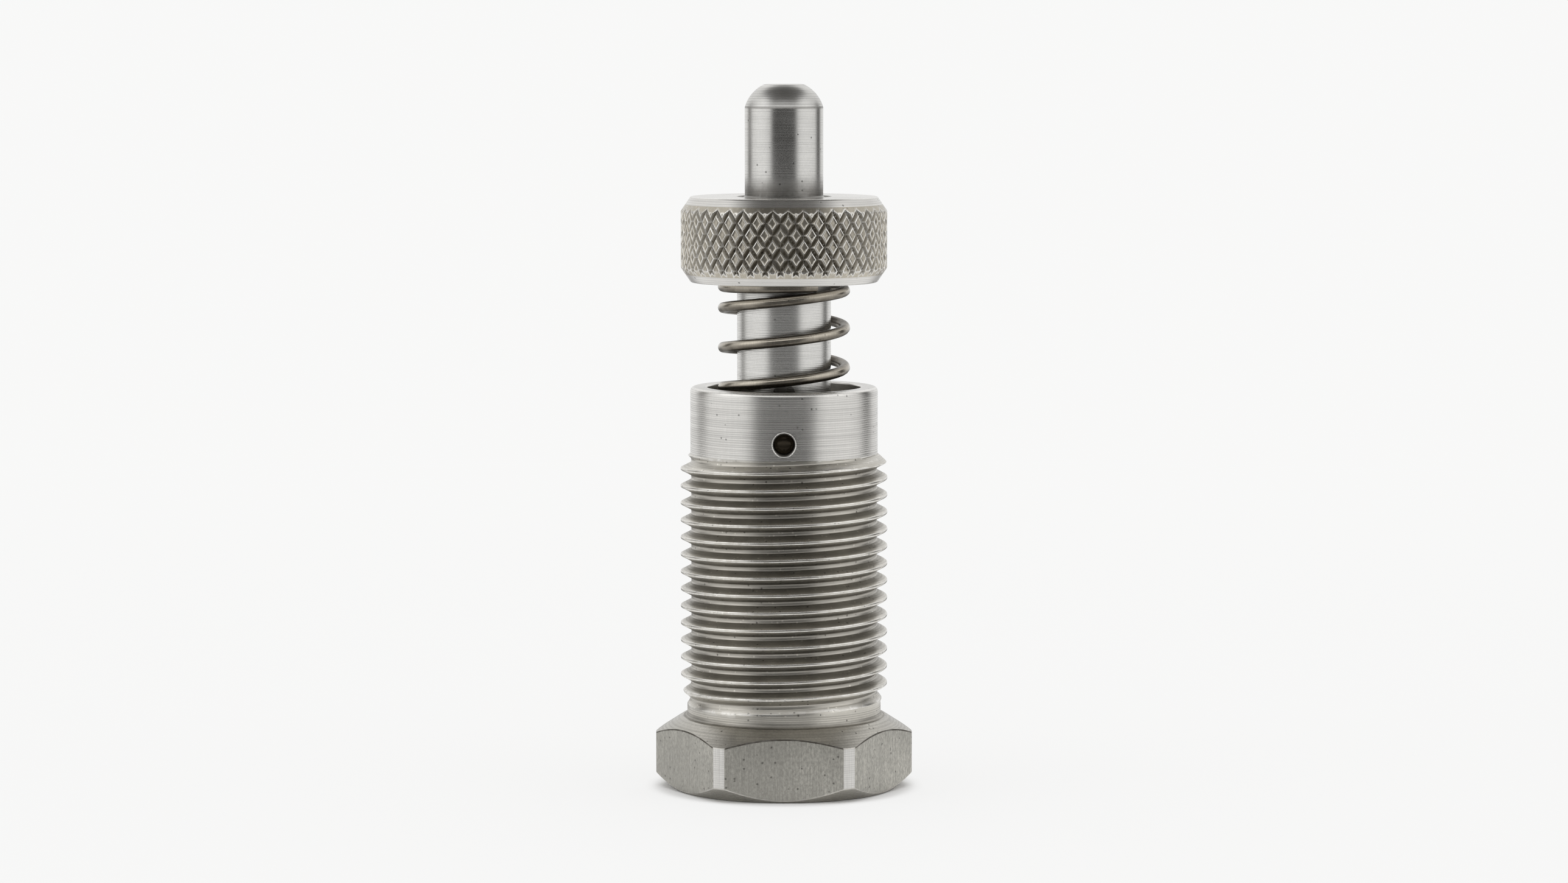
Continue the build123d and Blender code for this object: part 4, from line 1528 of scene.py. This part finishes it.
def make_lamp(name, place, target, size, power):
    """A square soft lamp that points at a target."""
    data = bpy.data.lights.new(name, "AREA")
    data.shape = "RECTANGLE"
    data.size, data.size_y = size
    data.energy = power
    lamp = bpy.data.objects.new(name, data)
    bpy.context.scene.collection.objects.link(lamp)
    lamp.location = place
    towards = lamp.location.copy()
    towards.negate()
    towards += type(towards)(target)
    lamp.rotation_euler = towards.to_track_quat("-Z", "Y").to_euler()


def make_world(backdrop, fill):
    """White where camera, reflections and glass look, and an even fill for everything else."""
    world = bpy.data.worlds.new("studio")
    world.use_nodes = True
    tree = world.node_tree
    tree.nodes.clear()
    output = node(tree, "ShaderNodeOutputWorld")
    backdrop_light = node(tree, "ShaderNodeBackground")
    backdrop_light.inputs["Color"].default_value = (*backdrop, 1.0)
    backdrop_light.inputs["Strength"].default_value = 1.0
    fill_light = node(tree, "ShaderNodeBackground")
    fill_light.inputs["Color"].default_value = (1.0, 1.0, 1.0, 1.0)
    fill_light.inputs["Strength"].default_value = fill
    blend = node(tree, "ShaderNodeMixShader")
    feed(tree, blend.inputs[0], seen_directly(tree))
    feed(tree, blend.inputs[1], fill_light.outputs[0])
    feed(tree, blend.inputs[2], backdrop_light.outputs[0])
    feed(tree, output.inputs["Surface"], blend.outputs[0])
    bpy.context.scene.world = world


class PLUNGER_OT_studio(bpy.types.Operator):
    """Set up the floor, the white surround, the soft lamps, the dark flags and the camera"""

    bl_idname = "plunger.studio"
    bl_label = "Studio"

    def execute(self, context):
        studio = context.scene.studio_setup
        backdrop = tuple(studio.backdrop)
        make_floor(backdrop)
        make_world(backdrop, studio.fill)
        middle = (0.0, 0.0, 0.03)
        make_lamp("lamp_left", (-0.6, -0.2, 0.35), middle, (0.45, 0.6), studio.lamp_power)
        make_lamp("lamp_right", (0.6, -0.2, 0.35), middle, (0.45, 0.6), studio.lamp_power * 0.6)
        make_lamp("lamp_back", (0.0, 0.6, 0.5), middle, (0.7, 0.4), studio.lamp_power * 0.5)
        standing_flag("flag_front", 0.0, 38.0, soft=8.0, distance=0.13, high=0.096, shade=0.036, thin=0.5)
        floor_flag("flag_floor", 0.0, 38.0, soft=8.0, near=0.035, far=0.13, thin=0.16, shade=0.05)
        floor_flag("flag_floor_left", -158.0, 13.0, soft=9.0, near=0.03, far=0.3, thin=0.25, shade=0.1)
        floor_flag("flag_floor_right", 158.0, 13.0, soft=9.0, near=0.03, far=0.3, thin=0.25, shade=0.1)
        standing_flag("flag_left", -120.0, 10.0, soft=9.0, distance=0.3, high=0.2, shade=0.2)
        standing_flag("flag_right", 120.0, 11.0, soft=9.0, distance=0.3, high=0.2, shade=0.08)
        lying_flag("flag_top", (-0.14, -0.165), (0.14, 0.12), soft=0.06, height=0.2, shade=0.1)
        data = bpy.data.cameras.new("camera")
        data.lens = studio.camera_lens
        data.sensor_width = 36.0
        data.clip_start, data.clip_end = 0.01, 50.0
        camera = bpy.data.objects.new("camera", data)
        context.scene.collection.objects.link(camera)
        camera.location = (0.0, -studio.camera_distance, studio.camera_height)
        camera.rotation_euler = (math.pi / 2 - studio.camera_pitch, 0.0, 0.0)
        context.scene.camera = camera
        context.scene.view_settings.view_transform = "Standard"
        return {"FINISHED"}


# ---------------------------------------------------------------------------
# Panel and registration
# ---------------------------------------------------------------------------

PIECES = (
    PLUNGER_OT_threaded_body,
    PLUNGER_OT_retaining_pin,
    PLUNGER_OT_plunger_pin,
    PLUNGER_OT_knurled_knob,
    PLUNGER_OT_return_spring,
    PLUNGER_OT_studio,
)
GROUPS = {
    "body_sizes": BodySizes,
    "plunger_sizes": PlungerSizes,
    "plunger_finish": SteelFinish,
    "studio_setup": StudioSetup,
}


class PLUNGER_PT_pieces(bpy.types.Panel):
    """Lists the pieces of the plunger and their sizes"""

    bl_idname = "PLUNGER_PT_pieces"
    bl_label = "Indexing plunger"
    bl_space_type = "VIEW_3D"
    bl_region_type = "UI"
    bl_category = "Plunger"

    def draw(self, context):
        column = self.layout.column(align=True)
        for operator in PIECES:
            column.operator(operator.bl_idname)
        for name, group in GROUPS.items():
            box = self.layout.box()
            box.label(text=group.__doc__)
            for key in group.__annotations__:
                box.prop(getattr(context.scene, name), key)


def register():
    """Registers the property groups, the operators and the panel."""
    for group in GROUPS.values():
        bpy.utils.register_class(group)
    for name, group in GROUPS.items():
        setattr(bpy.types.Scene, name, PointerProperty(type=group))
    for operator in PIECES:
        bpy.utils.register_class(operator)
    bpy.utils.register_class(PLUNGER_PT_pieces)


def unregister():
    """Takes away what register added."""
    bpy.utils.unregister_class(PLUNGER_PT_pieces)
    for operator in reversed(PIECES):
        bpy.utils.unregister_class(operator)
    for name in GROUPS:
        delattr(bpy.types.Scene, name)
    for group in reversed(GROUPS.values()):
        bpy.utils.unregister_class(group)


def main():
    """Builds every piece and the studio."""
    register()
    bpy.ops.plunger.threaded_body()
    bpy.ops.plunger.retaining_pin()
    bpy.ops.plunger.plunger_pin()
    bpy.ops.plunger.knurled_knob()
    bpy.ops.plunger.return_spring()
    bpy.ops.plunger.studio()


if __name__ == "__main__":
    main()
